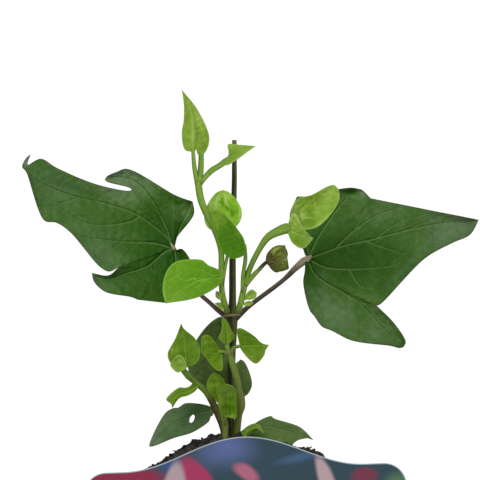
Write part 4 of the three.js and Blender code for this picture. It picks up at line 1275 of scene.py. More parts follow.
@dataclass
class BigLeafLeft(Part):
    """The big old leaf on the left: a long lobe, a finger, a lower lobe and two round heels."""

    name: str = "veined_leaf_left"
    node: str = "big_leaf_left"
    finishes: Finishes = (OLD_LEAF_LEFT, OLD_LEAF_UNDER)
    base: Pair = (-22, 168.3)
    lobe_tip: Pair = (-15.8, 183.9)
    finger_tip: Pair = (-45.1, 191.1)
    tip: Pair = (-69.8, 199.6)
    low_tip: Pair = (-49.4, 160)
    heel_tip: Pair = (-24, 150)
    top_bay: Pair = (-21.7, 186)
    upper_notch: Pair = (-35.9, 187.8)
    lower_notch: Pair = (-40.2, 162.1)
    low_bay: Pair = (-34, 151.1)
    ribs: tuple[Rib, ...] = (Rib(((-33.6, 179.2), (-36, 177.5), (-50, 176.3), (-61.2, 182.2)), 0.5, 0.9),
        Rib(((-53.6, 185.1), (-59, 183.5), (-61.2, 182.2), (-67, 184)), 0.36, 0.7),
        Rib(((-22, 168.3), (-28.3, 170), (-40, 170.5), (-53.3, 172.2)), 0.5, 1),
        Rib(((-33.9, 170.3), (-38.6, 165.4)), 0.36, 0.6), Rib(((-39.3, 170.2), (-45.6, 166.4)), 0.34, 0.6),
        Rib(((-44.6, 171), (-50, 169)), 0.26, 0.4), Rib(((-38.9, 181.4), (-45, 186)), 0.3, 0.45),
        Rib(((-47.2, 183.9), (-54, 189.4)), 0.3, 0.45), Rib(((-57.4, 186.3), (-63.5, 193.2)), 0.28, 0.4),
        Rib(((-65, 189.4), (-68.4, 194.6)), 0.22, 0.35),
        Rib(((-24.6, 172.6), (-27, 176.8), (-33.4, 184)), 0.3, 0.35),
        Rib(((-22.6, 170), (-22.8, 174), (-25.4, 183.4)), 0.28, 0.35),
        Rib(((-29, 163.4), (-28.4, 160), (-30.6, 155.6)), 0.26, 0.5),
        Rib(((-33.6, 161.5), (-36.4, 158), (-40, 155.4)), 0.26, 0.45),
        Rib(((-22, 168.3), (-19.6, 158.4)), 0.28, 0.4), Rib(((-35.3, 190.8), (-39.4, 193.4)), 0.22, 0.35))
    # The round patches and streaks paint light, shade and a grey sheen on the blade.
    tints: tuple[PaintedShading, ...] = (PaintedShading(-63, 188, 13, 0, 0.17), PaintedShading(-26, 176, 5.5, -0.6),
        PaintedShading(-18.6, 179.6, 4, 0.7), PaintedShading(-41, 191.6, 6, 2.6, 0.4), PaintedShading(-35, 191, 6, 1.8, 0.2),
        PaintedShading(-57, 175, 5, 0.3), PaintedShading(-45, 155.4, 4.5, 0.4, 0.1), PaintedShading(-43, 159, 2, -0.9),
        PaintedShading(-30, 157, 7, -0.3), PaintedShading(-71.4, 197.4, 1.8, 0.2, 1.3), PaintedShading(-64, 194, 5, -0.4),
        PaintedShading(-48, 166, 8, 0.2, 0.2))
    streaks: tuple[Streak, ...] = (Streak(((-65, 191), (-48, 186)), 0.8, -0.7, dip=0.25),
        Streak(((-44, 191.6), (-35.7, 189.2)), 0.8, 0.7),
        Streak(((-36.3, 194), (-34, 190.7)), 0.5, 0.5, dip=-0.2),
        Streak(((-19, 177), (-16, 182.7)), 0.7, 0.8, dip=-0.2),
        Streak(((-40.3, 162.2), (-43.8, 159.8)), 0.4, 1.2, 0.4))

    def lobes(self) -> tuple[Lobe, ...]:
        """The five lobes with their veins and margins."""
        round_lobe = Lobe((self.base, (-20.7, 173.3), self.lobe_tip),
            Margin((self.top_bay, (-18, 184.5)), 0.5), Margin((self.base, (-21.2, 171.5), (-15.4, 179.7))))
        finger_vein = (self.base, (-24.3, 175), (-31.3, 187.3), (-35.3, 190.8), (-40.7, 192),
            self.finger_tip)
        finger = Lobe(finger_vein, Margin((self.upper_notch, (-37, 188.5), (-44.2, 190.4)), 0.55),
            Margin((self.top_bay, (-37.8, 194.7), (-41, 193.7), (-44.2, 192.3)), 0.3))
        long_vein = (self.base, (-23.3, 171), (-34, 179.4), (-43.9, 183), (-56.7, 186), (-69, 191.8),
            (-71.5, 196.7), self.tip)
        long_low = (self.lower_notch, (-43.5, 160.5), (-46.5, 161.9), (-56.7, 173.7), (-61.3, 176.8),
            (-65.2, 177.5), (-71.3, 193.8), (-72.6, 195.4), (-71.3, 198.3))
        long_top = (self.upper_notch, (-37, 187.4), (-48.3, 189.7), (-61.3, 195.2), (-66.4, 198.1),
            (-70.8, 196.1))
        long_lobe = Lobe(long_vein, Margin(long_low, 0.3), Margin(long_top, 0.34), long=True)
        low_vein = (self.base, (-25, 167.3), (-30.7, 162.5), (-38, 159.9), (-45, 158), self.low_tip)
        low_lobe = Lobe(low_vein, Margin((self.low_bay, (-36.3, 152), (-45, 153.8), (-48.7, 157.3)), 0.5),
            Margin((self.lower_notch, (-43.8, 159.2)), 0.62))
        heel_right = (self.base, (-21.3, 167.7), (-19.4, 168), (-16, 162.8), (-16.7, 157.6), (-19.4, 153))
        heel = Lobe((self.base, (-21.6, 162), self.heel_tip), Margin(heel_right),
            Margin((self.low_bay, (-29.6, 150.6)), 0.5))
        return (round_lobe, finger, long_lobe, low_lobe, heel)

    def build(self) -> Surface:
        """The blade with its side veins and its painted light and shade."""
        return Blade(self.lobes(), Hang(6, (0.12, 0.45), rise=-2, tip_curl=4), (0, 1),
            Relief(0.42, 0.75, 0.4, 15, 0.08, 3), seed=3, ribs=self.ribs, tints=self.tints,
            streaks=self.streaks, spacing=0.42, midrib=0.5, edge=0.55, deep_reach=12).build()


@dataclass
class BigLeafRight(Part):
    """The big old leaf on the right: a long lobe, a lower lobe and an upper lobe that bends back."""

    name: str = "veined_leaf_right"
    node: str = "big_leaf_right"
    finishes: Finishes = (OLD_LEAF_RIGHT, OLD_LEAF_UNDER)
    base: Pair = (22.7, 165)
    heel_tip: Pair = (19, 185.5)
    upper_tip: Pair = (39, 188.2)
    tip: Pair = (79.6, 177.7)
    low_tip: Pair = (54.5, 135.3)
    top_bay: Pair = (26.5, 186.2)
    upper_bay: Pair = (43.6, 184.9)
    notch: Pair = (45.5, 149.2)
    ribs: tuple[Rib, ...] = (Rib(((31, 167.9), (38.3, 174.5), (46.7, 179.9), (50.5, 180.8)), 0.46, 0.9),
        Rib(((38.3, 174.5), (41.5, 182)), 0.34, 0.6),
        Rib(((28.5, 175.6), (31, 176.6), (33.6, 179.2)), 0.28, 0.4),
        Rib(((32.6, 181.6), (35, 181.8), (38.6, 183.8)), 0.3, 0.5),
        Rib(((45, 171.5), (54, 177.6), (59.6, 179)), 0.34, 0.6), Rib(((55, 174.1), (63.7, 178)), 0.3, 0.7),
        Rib(((58, 174.8), (60, 174.6), (66.7, 171.6)), 0.32, 0.6),
        Rib(((42, 170.8), (53.3, 166.8), (57.4, 166.6)), 0.42, 0.8),
        Rib(((22.7, 165), (29.3, 161.9), (51.7, 162.7), (54.4, 164.6)), 0.52, 1),
        Rib(((36.7, 161), (40.7, 155.4), (47.6, 155.4)), 0.42, 0.8),
        Rib(((35.4, 169.4), (40, 161.9)), 0.3, 0.4), Rib(((39.4, 150.3), (45, 149.6)), 0.3, 0.5),
        Rib(((24.6, 160.2), (27, 151.6), (29, 147.4)), 0.32, 0.5), Rib(((30, 155.8), (35, 146)), 0.28, 0.45),
        Rib(((36, 152.4), (41, 143)), 0.28, 0.4),
        Rib(((43.4, 146.5), (43.4, 143), (44.6, 139.6)), 0.24, 0.35),
        Rib(((45.6, 144.2), (48.8, 144.4), (50.6, 142.8)), 0.24, 0.35),
        Rib(((51.4, 173.2), (54, 170.6), (57, 169.2)), 0.26, 0.35))
    # The round patches and streaks paint light, shade and a grey sheen on the blade.
    tints: tuple[PaintedShading, ...] = (PaintedShading(71, 176, 11, 0.1, 0.2), PaintedShading(48, 181, 5, 0.3, 0.1),
        PaintedShading(30, 171, 6, -0.4), PaintedShading(38, 165, 6, -0.55), PaintedShading(36, 157.6, 5, -0.6), PaintedShading(47, 164, 10, -0.9),
        PaintedShading(30, 147, 9, 0.6, 0.05), PaintedShading(46, 140.6, 6, 0.5, 0), PaintedShading(41, 186.7, 1.1, 1.6, 0.4),
        PaintedShading(74, 177, 4, 0, 0.35), PaintedShading(67, 171.4, 3.4, -0.2, 0.25))
    streaks: tuple[Streak, ...] = (Streak(((32.6, 187.2), (39.6, 187.1)), 1, -1.5, dip=0.5),
        Streak(((33.4, 185.4), (37.4, 185.6), (41.4, 184.6)), 0.7, 0.5),
        Streak(((49.4, 180.3), (50.8, 180.7)), 0.5, 1.2), Streak(((63, 177.2), (64.4, 177.6)), 0.5, 1),
        Streak(((48, 154.4), (58, 164.6), (64, 168.4)), 0.9, -0.3, 0.15))

    def lobes(self) -> tuple[Lobe, ...]:
        """The four lobes with their veins and margins."""
        heel_left = (self.base, (21.8, 166), (20.9, 168.3), (19, 171), (16.6, 179))
        heel = Lobe((self.base, (19.3, 180.3), self.heel_tip), Margin(heel_left),
            Margin((self.top_bay, (22.5, 185.5)), 0.5))
        upper = Lobe((self.base, (25.4, 171), (35, 184.6), self.upper_tip),
            Margin((self.top_bay, (30.3, 187.5), (37, 188.4)), 0.4),
            Margin((self.upper_bay, (40.8, 187.6)), 0.7))
        long_low = (self.notch, (46.5, 149.4), (61.7, 164.9), (70.7, 170), (76.7, 172.8))
        long_lobe = Lobe((self.base, (35, 169.3), (43.3, 171.1), (63.3, 176), self.tip),
            Margin((self.upper_bay,), 0.2), Margin(long_low, 0.3), long=True)
        low_bottom = (self.base, (21.9, 163.7), (21.6, 160.3), (21.1, 157), (23.3, 147.5), (24.8, 145.6),
            (27.3, 142.2), (30.7, 140.7), (37.3, 137.5), (50.3, 135.7), (53.3, 135))
        low_lobe = Lobe((self.base, (25, 159.7), (39.3, 150.4), (47, 142.4), self.low_tip),
            Margin((self.notch, (51.5, 143.1), (55.2, 137)), 0.5), Margin(low_bottom))
        return (heel, upper, long_lobe, low_lobe)

    def build(self) -> Surface:
        """The blade with its side veins and its painted light and shade."""
        return Blade(self.lobes(), Hang(6, (0.1, 0.42), rise=-2, tip_curl=3), (0, 1),
            Relief(0.4, 0.7, 0.4, 15, 0.08, 3), seed=7, ribs=self.ribs, tints=self.tints,
            streaks=self.streaks, spacing=0.43, midrib=0.45, edge=0.8, deep_reach=10).build()


# The shoots.


@dataclass
class Shoot(Part):
    """A shoot as one growth: its stem, its stalks and its leaves. The last finish is the stem's."""

    stem: Path
    stalks: Paths = ()

    def build(self) -> Surface:
        """The leaves, which are the fields that hold a blade, with the stem and the stalks."""
        leaves = [value.build() for value in vars(self).values() if isinstance(value, Blade)]
        skin = len(self.finishes) - 1
        return joined(leaves + [tube(path, 0.06, 20).skinned(skin) for path in (self.stem, *self.stalks)])


@dataclass
class LeftShoot(Shoot):
    """The tall shoot on the left with its five leaves and the scales at its foot."""

    name: str = "leafy_shoot_left"
    node: str = "left_shoot"
    finishes: Finishes = (PALE_LEAF, ROUND_LEAF, BROAD_LEAF, YOUNG_UNDER, GREEN_STEM)
    stem: Path = ((-4.1, 146.7, -1, 1), (-5.1, 149.4, -2.8, 1.05), (-6, 154, -4.2, 0.9),
        (-6.2, 161, -6, 0.9), (-6.4, 168, -7.8, 0.95), (-8.7, 175, -9.2, 1), (-11, 179.4, -10, 1.05),
        (-13, 184.4, -10.6, 1.1), (-14, 190.3, -11, 1.1))
    stalks: Paths = (((-14.2, 189.6, -11, 0.8), (-15.2, 195.3, -12, 0.72),
        (-15.7, 201.4, -12.9, 0.55)),
        ((-13.8, 189.6, -11, 1), (-13.1, 194.3, -10.2, 0.95), (-12.9, 200.4, -10.8, 0.8)),
        ((-13.8, 189, -10.9, 0.8), (-12, 191.5, -10.4, 0.8), (-9.4, 194.2, -8.6, 0.95),
        (-6.8, 195.8, -6.9, 0.9), (-4.8, 197.3, -5.9, 1), (-3, 198.9, -6, 0.5)), ((-5.9, 156, -5, 0.6),
        (-5, 161.7, -6.2, 0.55), (-4.2, 166, -6.4, 0.5), (-4, 171, -5.8, 0.5), (-4.2, 175.6, -4.8, 0.35)))
    # The leaves from the top down, with finishes 0 pale, 1 crumpled, 2 broad and 3 below.
    # Their round patches and streaks paint light and shade.
    top_left: Blade = leaf(((-15.6, 200.3), (-15.5, 209.3), (-16.6, 215), (-19.4, 221.2)),
        ((-18.3, 201), (-19.4, 206.7), (-18.8, 210.7), (-18.7, 216)),
        ((-14.8, 201), (-14.3, 208.3), (-16.1, 216.3)), Hang(-12.8, (0.2, 0.04), (0.6, 0.7)), (0, 3),
        SideVeins(2.4, 0.5, 0.15), tints=(PaintedShading(-18.6, 203, 2, -0.4), PaintedShading(-18.4, 214, 3, -0.3)),
        streaks=(Streak(((-15.6, 200.6), (-16, 213), (-17.8, 218.4)), 0.6, 0.6),), midrib=0.3,
        midrib_strength=0.15)
    top_right: Blade = leaf(((-13.2, 199), (-13.8, 211), (-15.8, 216.3), (-19.4, 221)),
        ((-14.2, 199.7), (-14.8, 203), (-18, 217.7)), ((-11.5, 200.3), (-10.2, 205), (-14, 214.2)),
        Hang(-11, (0.1, -0.02), (0, -0.3)), (0, 3), SideVeins(3.4, 0.45, 0.2),
        tints=(PaintedShading(-12, 202, 1.8, -0.8), PaintedShading(-11.6, 206.4, 1.6, -0.4), PaintedShading(-15, 212, 3, 0.5)),
        streaks=(Streak(((-11.4, 203), (-13.4, 210.6)), 0.4, 0.5, dip=-0.15),), midrib=0.3,
        midrib_strength=0.1)
    arrow: Blade = leaf(((-5.8, 196.4), (-0.7, 200.5), (5.2, 202.3)),
        ((-3.8, 199.6), (-4, 202.8), (0, 202.7)), ((-4.5, 195.9),), Hang(-6, (-0.4, 0.3), (0.3, -0.5)),
        (0, 3), SideVeins(2.6, 0.35, 0.12), tints=(PaintedShading(-2.4, 199.6, 2.4, -0.5), PaintedShading(-3, 202.4, 1, 0.4)),
        midrib_strength=0.3)
    crumpled: Blade = leaf(((-4.3, 174.4), (-5.7, 187.7)),
        ((-8.4, 174), (-11, 175.5), (-11.9, 180), (-8.2, 186.5)),
        ((-1.2, 175.6), (0.5, 178.5), (0.3, 181.8), (-3.3, 186.7)), Hang(-4.6, (0.1, 0.12), cup=-0.2),
        (1, 3), SideVeins(2.4, 0.5, 0.15), tints=(PaintedShading(-8.4, 183, 2, 0.5), PaintedShading(-4.6, 186, 2, 0.7),
        PaintedShading(-2.2, 180.4, 2, -0.5), PaintedShading(-10, 177, 2, 0.5)),
        streaks=(Streak(((-7, 186.3), (-8.3, 180.6)), 0.55, 1.1, dip=-0.35),
        Streak(((-5.3, 186.3), (-4.4, 182.6)), 0.45, 0.9, dip=-0.3),
        Streak(((-0.7, 183), (0.1, 180.4), (-0.4, 177.6)), 0.5, 0.9, dip=-0.2),
        Streak(((-6, 184.4), (-5.6, 181.8)), 0.45, -1.2, dip=0.35),
        Streak(((-4.8, 182.4), (-3.9, 180.5)), 0.5, -1.2, dip=0.35),
        Streak(((-3, 181), (-2.2, 178.6)), 0.5, -1.2, dip=0.35),
        Streak(((-9.6, 184), (-10.4, 178)), 0.5, 0.6, dip=-0.2)), midrib_strength=0.3)
    broad: Blade = leaf(((-5.9, 158.4), (-12, 158), (-19, 155.2), (-24.8, 149.8)),
        ((-6.6, 156.4), (-14, 151.9)), ((-6.6, 160.7), (-10.7, 162.7), (-12.7, 164.3), (-20.7, 164),
        (-23.3, 162.3), (-25, 159.3), (-25.8, 154.3)), Hang(-7.1, (0.5, 0.2), cup=0.1), (2, 3),
        SideVeins(2.4, 0.5, 0.6), tints=(PaintedShading(-22.6, 152, 3, 0.4), PaintedShading(-15, 160, 4, -0.3)),
        streaks=(Streak(((-8, 158.6), (-13, 157.6), (-18, 155)), 0.35, 0.7, dip=-0.1),
        Streak(((-25.2, 158), (-24.6, 150.4), (-19, 150.9)), 0.5, 0.5)),
        relief=Relief(0.12, 0.35, 0.25, 12, 0.05, 2.4), midrib_strength=0.7, edge=0.9)
    scale: Blade = leaf(((-6.1, 151.8), (-7.3, 152.4), (-8.1, 154)), ((-6.6, 151), (-8.1, 152)),
        ((-6.1, 152.8), (-7, 153.8)), Hang(-4.8, (0.3, 0)), (0, 3))
    low_scale: Blade = leaf(((-5.2, 148.3), (-8.5, 149.9)), ((-5.9, 147.5),), ((-5.4, 149.4), (-7, 150.2)),
        Hang(-3.4, (0.2, 0)), (0, 3))


@dataclass
class RightShoot(Shoot):
    """The shoot on the right: a tongue leaf, a cupped leaf with its lobe, and the bud's stalk."""

    name: str = "leafy_shoot_right"
    node: str = "right_shoot"
    finishes: Finishes = (TONGUE_LEAF, PALE_LEAF, YOUNG_UNDER, GREEN_STEM)
    stem: Path = ((-0.9, 146.7, -1, 0.95), (0, 149.2, -2.6, 1), (2, 157.7, -4.6, 0.95),
        (3.5, 162, -5.4, 0.85), (6.7, 168.3, -6.2, 0.9), (9.4, 172, -6.4, 1.15), (14, 174.4, -6, 1.6),
        (15.8, 174.9, -5.6, 1.7), (17.2, 175.1, -5.2, 1))
    stalks: Paths = (((0.9, 153.4, -4, 0.7), (1, 159, -5.8, 0.65), (1.8, 164.6, -7.8, 0.65),
        (1.7, 169.6, -9, 0.4)), ((1.8, 156, -4.4, 0.85), (4, 158.7, -6, 0.8), (6, 160.8, -7.6, 0.7)),
        ((0.4, 150.8, -3.2, 0.5), (2.6, 151.8, -4.6, 0.4)))
    # The leaves, with finishes 0 glossy, 1 pale and 2 below. Their round patches and streaks
    # paint light and shade.
    tongue: Blade = leaf(((1.9, 168.9), (-1.6, 170.8), (-10, 180.2)),
        ((2, 166.6), (-0.2, 165.1), (-3.4, 165), (-6.2, 167.8)), ((1, 172), (-6.3, 180.3), (-8.7, 180.8)),
        Hang(-9, (0.18, -0.06), cup=-0.15), (0, 2), SideVeins(3.4, 0.4, 0.15),
        tints=(PaintedShading(-7, 178.2, 3.6, 0.9), PaintedShading(-3, 169.6, 4, -0.5), PaintedShading(-0.6, 173, 1.6, 0.5)),
        streaks=(Streak(((-9.3, 180), (-7.2, 174.4)), 0.4, 0.9),), midrib_strength=0.12)
    cupped: Blade = leaf(((17, 175.7), (26.3, 182.2), (31.3, 189.4)),
        ((17, 180.7), (19.2, 184.7), (23.8, 186), (29.3, 188.9)),
        ((21.7, 174.5), (26.3, 175.7), (33, 184.3), (32.5, 188.3)), Hang(-5.4, (-0.12, 0.1), cup=-0.4),
        (1, 2), SideVeins(3, 0.45, 0.4), tints=(PaintedShading(23.2, 177, 2, -1.5), PaintedShading(21.1, 178.9, 0.9, 1.3),
        PaintedShading(23.4, 180.4, 1.4, -0.7), PaintedShading(18.4, 182, 2.2, 0.4), PaintedShading(30, 186, 3, 0.4),
        PaintedShading(25, 184.6, 2.4, -0.3)), streaks=(Streak(((20.7, 178.7), (25, 178)), 0.35, 1.2),
        Streak(((22, 174.9), (26, 175.9), (30, 179.2)), 0.5, 0.7)), midrib_strength=0.5)
    lobe: Blade = leaf(((16, 174.5), (21.3, 172.3), (24.5, 171.6)),
        ((16.1, 172.9), (17.7, 169.8), (21, 168.2)),
        ((16.2, 177), (17.4, 179.9), (18.4, 179.9), (21, 175.2), (23.5, 172.1)),
        Hang(-6.2, (0, 0.4), (0, -0.3), cup=-0.15), (1, 2), SideVeins(2.4, 0.4, 0.15),
        tints=(PaintedShading(19.6, 170.6, 3, -0.9), PaintedShading(23.4, 171.4, 1.6, 0, 0.3), PaintedShading(18, 175, 1.6, 0.3)),
        streaks=(Streak(((16.4, 177.2), (17.9, 179.6), (22.6, 172.8)), 0.55, 1.3, 0.2),))
    spoon: Blade = leaf(((1.6, 151.4), (5.6, 153.4)), ((2.2, 153.2), (4, 154.5)), ((3, 151), (5.2, 151.8)),
        Hang(-4.4, (-0.5, 0.1), cup=-0.3), (1, 2))
    scale: Blade = leaf(((0, 149.4), (4.6, 150.1)), ((2.8, 150.7),), ((3, 149),), Hang(-3, (-0.4, 0)), (1, 2))


@dataclass
class Bud(Shoot):
    """The bud: overlapping scales round a core, with three at the front that part at its tip."""

    name: str = "scaly_bud"
    node: str = "bud"
    finishes: Finishes = (BUD_SCALE, BUD_STALK_SKIN)
    stem: Path = ((6.3, 161.1, -7.9, 0.7), (8, 162.9, -9.2, 0.6), (10.4, 164.8, -10.6, 0.55))
    centre: Triple = (12.2, 164.7, -11)
    half_length: float = 3.3
    half_width: float = 3.9
    scales: int = 4
    scale_thickness: float = 0.25
    rise: float = 0.16
    # The front scales: one that points up, one that points down and one between. Their round
    # patches and streak paint light and shade, and a pale brown at the tips.
    upper: Blade = leaf(((9.2, 164.3), (13.2, 167), (14.6, 169.3)), ((9.3, 166.2), (10.2, 167.5)),
        ((10.8, 163.7), (15.9, 165.9)), Hang(-15.1, (0.05, 0.1), cup=0.4), (0, 0), SideVeins(3.2, 0.9, 0.7),
        tints=(PaintedShading(11.9, 167.4, 1.5, 1.3), PaintedShading(9.8, 164.4, 1.3, -1.2), PaintedShading(15.1, 166.3, 0.9, 0.6, 0.7)),
        streaks=(Streak(((11.4, 164.9), (15, 165.9)), 0.4, -1.3),))
    lower: Blade = leaf(((9.2, 164.5), (11.2, 163.9), (15.5, 161.7)),
        ((10.4, 165.2), (13.8, 165.3), (15.2, 164)), ((9.7, 162.3), (12, 160.2)),
        Hang(-15.4, (0.05, -0.1), cup=0.4), (0, 0), SideVeins(3.6, 0.9, 0.8),
        tints=(PaintedShading(9.8, 163.6, 1.4, -1),))
    inner: Blade = leaf(((11, 165), (15.9, 165.8)), ((12, 167.2), (14, 168.3), (15.5, 167.9)),
        ((12, 162.4), (14, 161.8), (15.2, 162.4)), Hang(-14.8, cup=0.2), (0, 0), SideVeins(2.4, 0.8, 0.5),
        tints=(PaintedShading(14.9, 165, 1, 0.4, 0.9), PaintedShading(15.8, 166.6, 0.6, -1.5)))

    def placed(self, points: Array) -> Array:
        """Tilts points of the bud up by rise, and moves them to its centre.

        Args:
            points: Points round the origin, with the bud's tip towards +X.

        Returns:
            The points in their place.
        """
        cos, sin = math.cos(self.rise), math.sin(self.rise)
        turn = np.array([[cos, 0, -sin], [0, 1, 0], [sin, 0, cos]])
        x, z, y = self.centre
        return points @ turn.T + seen(np.array(x), np.array(z), np.array(float(y)))

    def build(self) -> Surface:
        """The core, the scales round it, the front scales and the end of the stalk.

        A scale's radius grows as the sine of 0.72 of a half turn along, to the power 0.55. It
        spans 1.2 of its share of the round, and narrows to its tip.
        """
        ahead = np.linspace(0.02, 0.98, 18)
        radius = 0.86 * self.half_width * np.sin(0.97 * np.pi * ahead) ** 0.45
        core = level_rings(radius, self.half_length * 0.98 * (2 * ahead - 1), 40)[..., [2, 0, 1]]
        tone = np.tile(1.2 * ahead[:, None] - 1, 40)
        parts = [super().build(), turned_closed(self.placed(core), {"tone": tone})]
        ahead, side = np.meshgrid(np.linspace(0, 1, 26), np.linspace(-1, 1, 29), indexing="ij")
        for k in range(self.scales):
            turn = 2 * np.pi * (k + 0.5) / self.scales
            angle = turn + side * (1 - 0.3 * smooth_step(ahead, 0.6, 1)) * 1.2 * np.pi / self.scales
            radius = self.half_width * np.sin(0.72 * np.pi * ahead) ** 0.55
            radius = radius + 0.1 * np.cos(3 * np.pi * side) + 0.12 + 0.16 * (k % 2)
            radius = radius + 0.25 * smooth_step(ahead, 0.8, 1)
            x = self.half_length * (2 * ahead - 1) * (1 + 0.06 * np.cos(3 * turn))
            points = np.stack([x, radius * np.cos(angle), radius * np.sin(angle)], axis=-1)
            marks = {
                "vein": np.clip(np.cos(side * 3 * np.pi), 0, 1) ** 3 * (1 - 0.5 * ahead),
                "tone": 0.4 * np.sin(3 * side + 2 * k) + 0.5 * (ahead - 0.5),
                "base": (1 - ahead) ** 2,
                "rim": smooth_step(np.abs(side), 0.82, 1) + smooth_step(ahead, 0.9, 1),
            }
            flat = {name: value.ravel() for name, value in marks.items()}
            sheet = welded(self.placed(points).reshape(-1, 3), grid_triangles(*side.shape), flat)
            outward = sheet.points - self.placed(np.zeros((1, 3)))
            sheet = sheet.flipped_if((normals_of(sheet) * outward).sum() < 0)
            parts.append(thickened(sheet, np.full(len(sheet.points), self.scale_thickness), (0, 0)))
        return joined(parts)


@dataclass
class LowerLeftShoot(Shoot):
    """The low shoot on the left: a heart-shaped leaf, a pale one before it and a narrow one."""

    name: str = "low_shoot_left"
    node: str = "lower_left_shoot"
    finishes: Finishes = (SHOOT_LEAF, PALE_LEAF, YOUNG_UNDER, BROWN_STEM)
    stem: Path = ((-5.4, 96, -1, 0.9), (-5.2, 104, -1.2, 0.95), (-5.7, 108.4, -1.7, 1.05),
        (-8.5, 115.4, -3.4, 1.1), (-9.7, 118, -4.4, 1.15), (-11.5, 120.6, -5.4, 1),
        (-15.2, 123.8, -7.6, 0.85), (-17.1, 125.6, -9.2, 1.1), (-18.9, 127.6, -10.8, 0.9))
    # The leaves, with finishes 0 low, 1 pale and 2 below. Their round patches paint light and shade.
    heart: Blade = leaf(((-18.5, 128.3), (-18.5, 133.7), (-19.6, 143.2)),
        ((-21.3, 128.8), (-23.2, 130.1), (-24.1, 133), (-21.5, 138.3)),
        ((-15, 129.7), (-13.7, 131.2), (-13.3, 134.8), (-15, 138.2), (-18.8, 141.6)),
        Hang(-10, (0.05, 0.5), cup=-0.15), (0, 2), SideVeins(3, 0.5, 0.25),
        tints=(PaintedShading(-18, 131, 2.4, -0.5), PaintedShading(-21.6, 135, 2, 0.3)))
    pale: Blade = leaf(((-19.4, 127.3), (-20.6, 132.8)), ((-20.9, 126.9), (-23.2, 129.4)),
        ((-17.8, 128.4), (-19.2, 132.1)), Hang(-11.8, (0, -0.1), cup=-0.4), (1, 2), SideVeins(2.4, 0.4, 0.4))
    narrow: Blade = leaf(((-13.8, 122.6), (-17.5, 120.7), (-20.2, 120), (-22.3, 118), (-22.6, 114.9)),
        ((-14.6, 120.9), (-17.2, 119.2), (-20.1, 118.3)),
        ((-14.6, 124), (-17, 122.1), (-18.5, 121.7), (-20.2, 121.8), (-24.6, 117.8), (-22.9, 116.3)),
        Hang(-7.6, (0.1, 0.4), cup=0.2), (0, 2), SideVeins(2.4, 0.4, 0.15),
        tints=(PaintedShading(-18.6, 120.6, 2.4, 0.3), PaintedShading(-23, 118.6, 1.6, 0.3)))


@dataclass
class LowerRightShoot(Shoot):
    """The low shoot on the right: three young leaves that spread from its tip."""

    name: str = "low_shoot_right"
    node: str = "lower_right_shoot"
    finishes: Finishes = (SHOOT_LEAF, YOUNG_UNDER, OLIVE_STEM)
    stem: Path = ((-1.1, 96, -1.4, 1.15), (-1.1, 106, -1.7, 1.15), (-0.4, 112.6, -2.2, 1.1),
        (0.1, 115.2, -2.5, 1.3), (-0.5, 122, -3.6, 1.05), (-2.4, 129.6, -5, 1.05), (-4.4, 136, -5.6, 0.7))
    stalks: Paths = (((-3.4, 132.4, -5.4, 0.7), (-5.6, 133.7, -6.6, 0.6), (-7.4, 133.5, -7.1, 0.4)),
        ((-3.2, 132.4, -5.4, 0.7), (-2.2, 134.9, -6.4, 0.65), (0.4, 135.8, -7.3, 0.5)))
    # The three leaves, with finishes 0 low and 1 below. Their round patches paint light and shade.
    left: Blade = leaf(((-6.1, 133.5), (-9.3, 133.5), (-13, 134.1)),
        ((-5.9, 127.7), (-7, 127.3), (-9.5, 129.2), (-11.5, 132.1), (-12.5, 133)),
        ((-10.5, 139.3), (-12.5, 138.9)), Hang(-6.9, (0.3, 0.3), cup=-0.2), (0, 1), SideVeins(2, 0.5, 0.25),
        tints=(PaintedShading(-11.6, 137.6, 1.8, 0.3), PaintedShading(-8.6, 134, 2, -0.3)), edge=0.75)
    upper: Blade = leaf(((-4.4, 135.7), (-4.5, 140), (-5.7, 145.2)),
        ((-7.1, 138.3), (-6.6, 139.6), (-6, 142.2), (-6.1, 143.9)),
        ((-1.8, 138.7), (-2.9, 141.1), (-4.5, 144.2)), Hang(-5.6, (0.1, 0.1), (-0.6, 0.3)), (0, 1),
        SideVeins(3, 0.4, 0.2), tints=(PaintedShading(-4.4, 139, 2.4, 0.4),))
    right: Blade = leaf(((-0.1, 135.7), (9.6, 136)), ((-1, 141.1), (-0.2, 141.7), (4.7, 139), (7.3, 136.5)),
        ((0.3, 134.5), (5.2, 129.8), (8.1, 132.7), (8.4, 134)), Hang(-7, (-0.4, 0.3), cup=-0.15), (0, 1),
        SideVeins(2.4, 0.5, 0.12), tints=(PaintedShading(2, 138.4, 3, -0.5),))


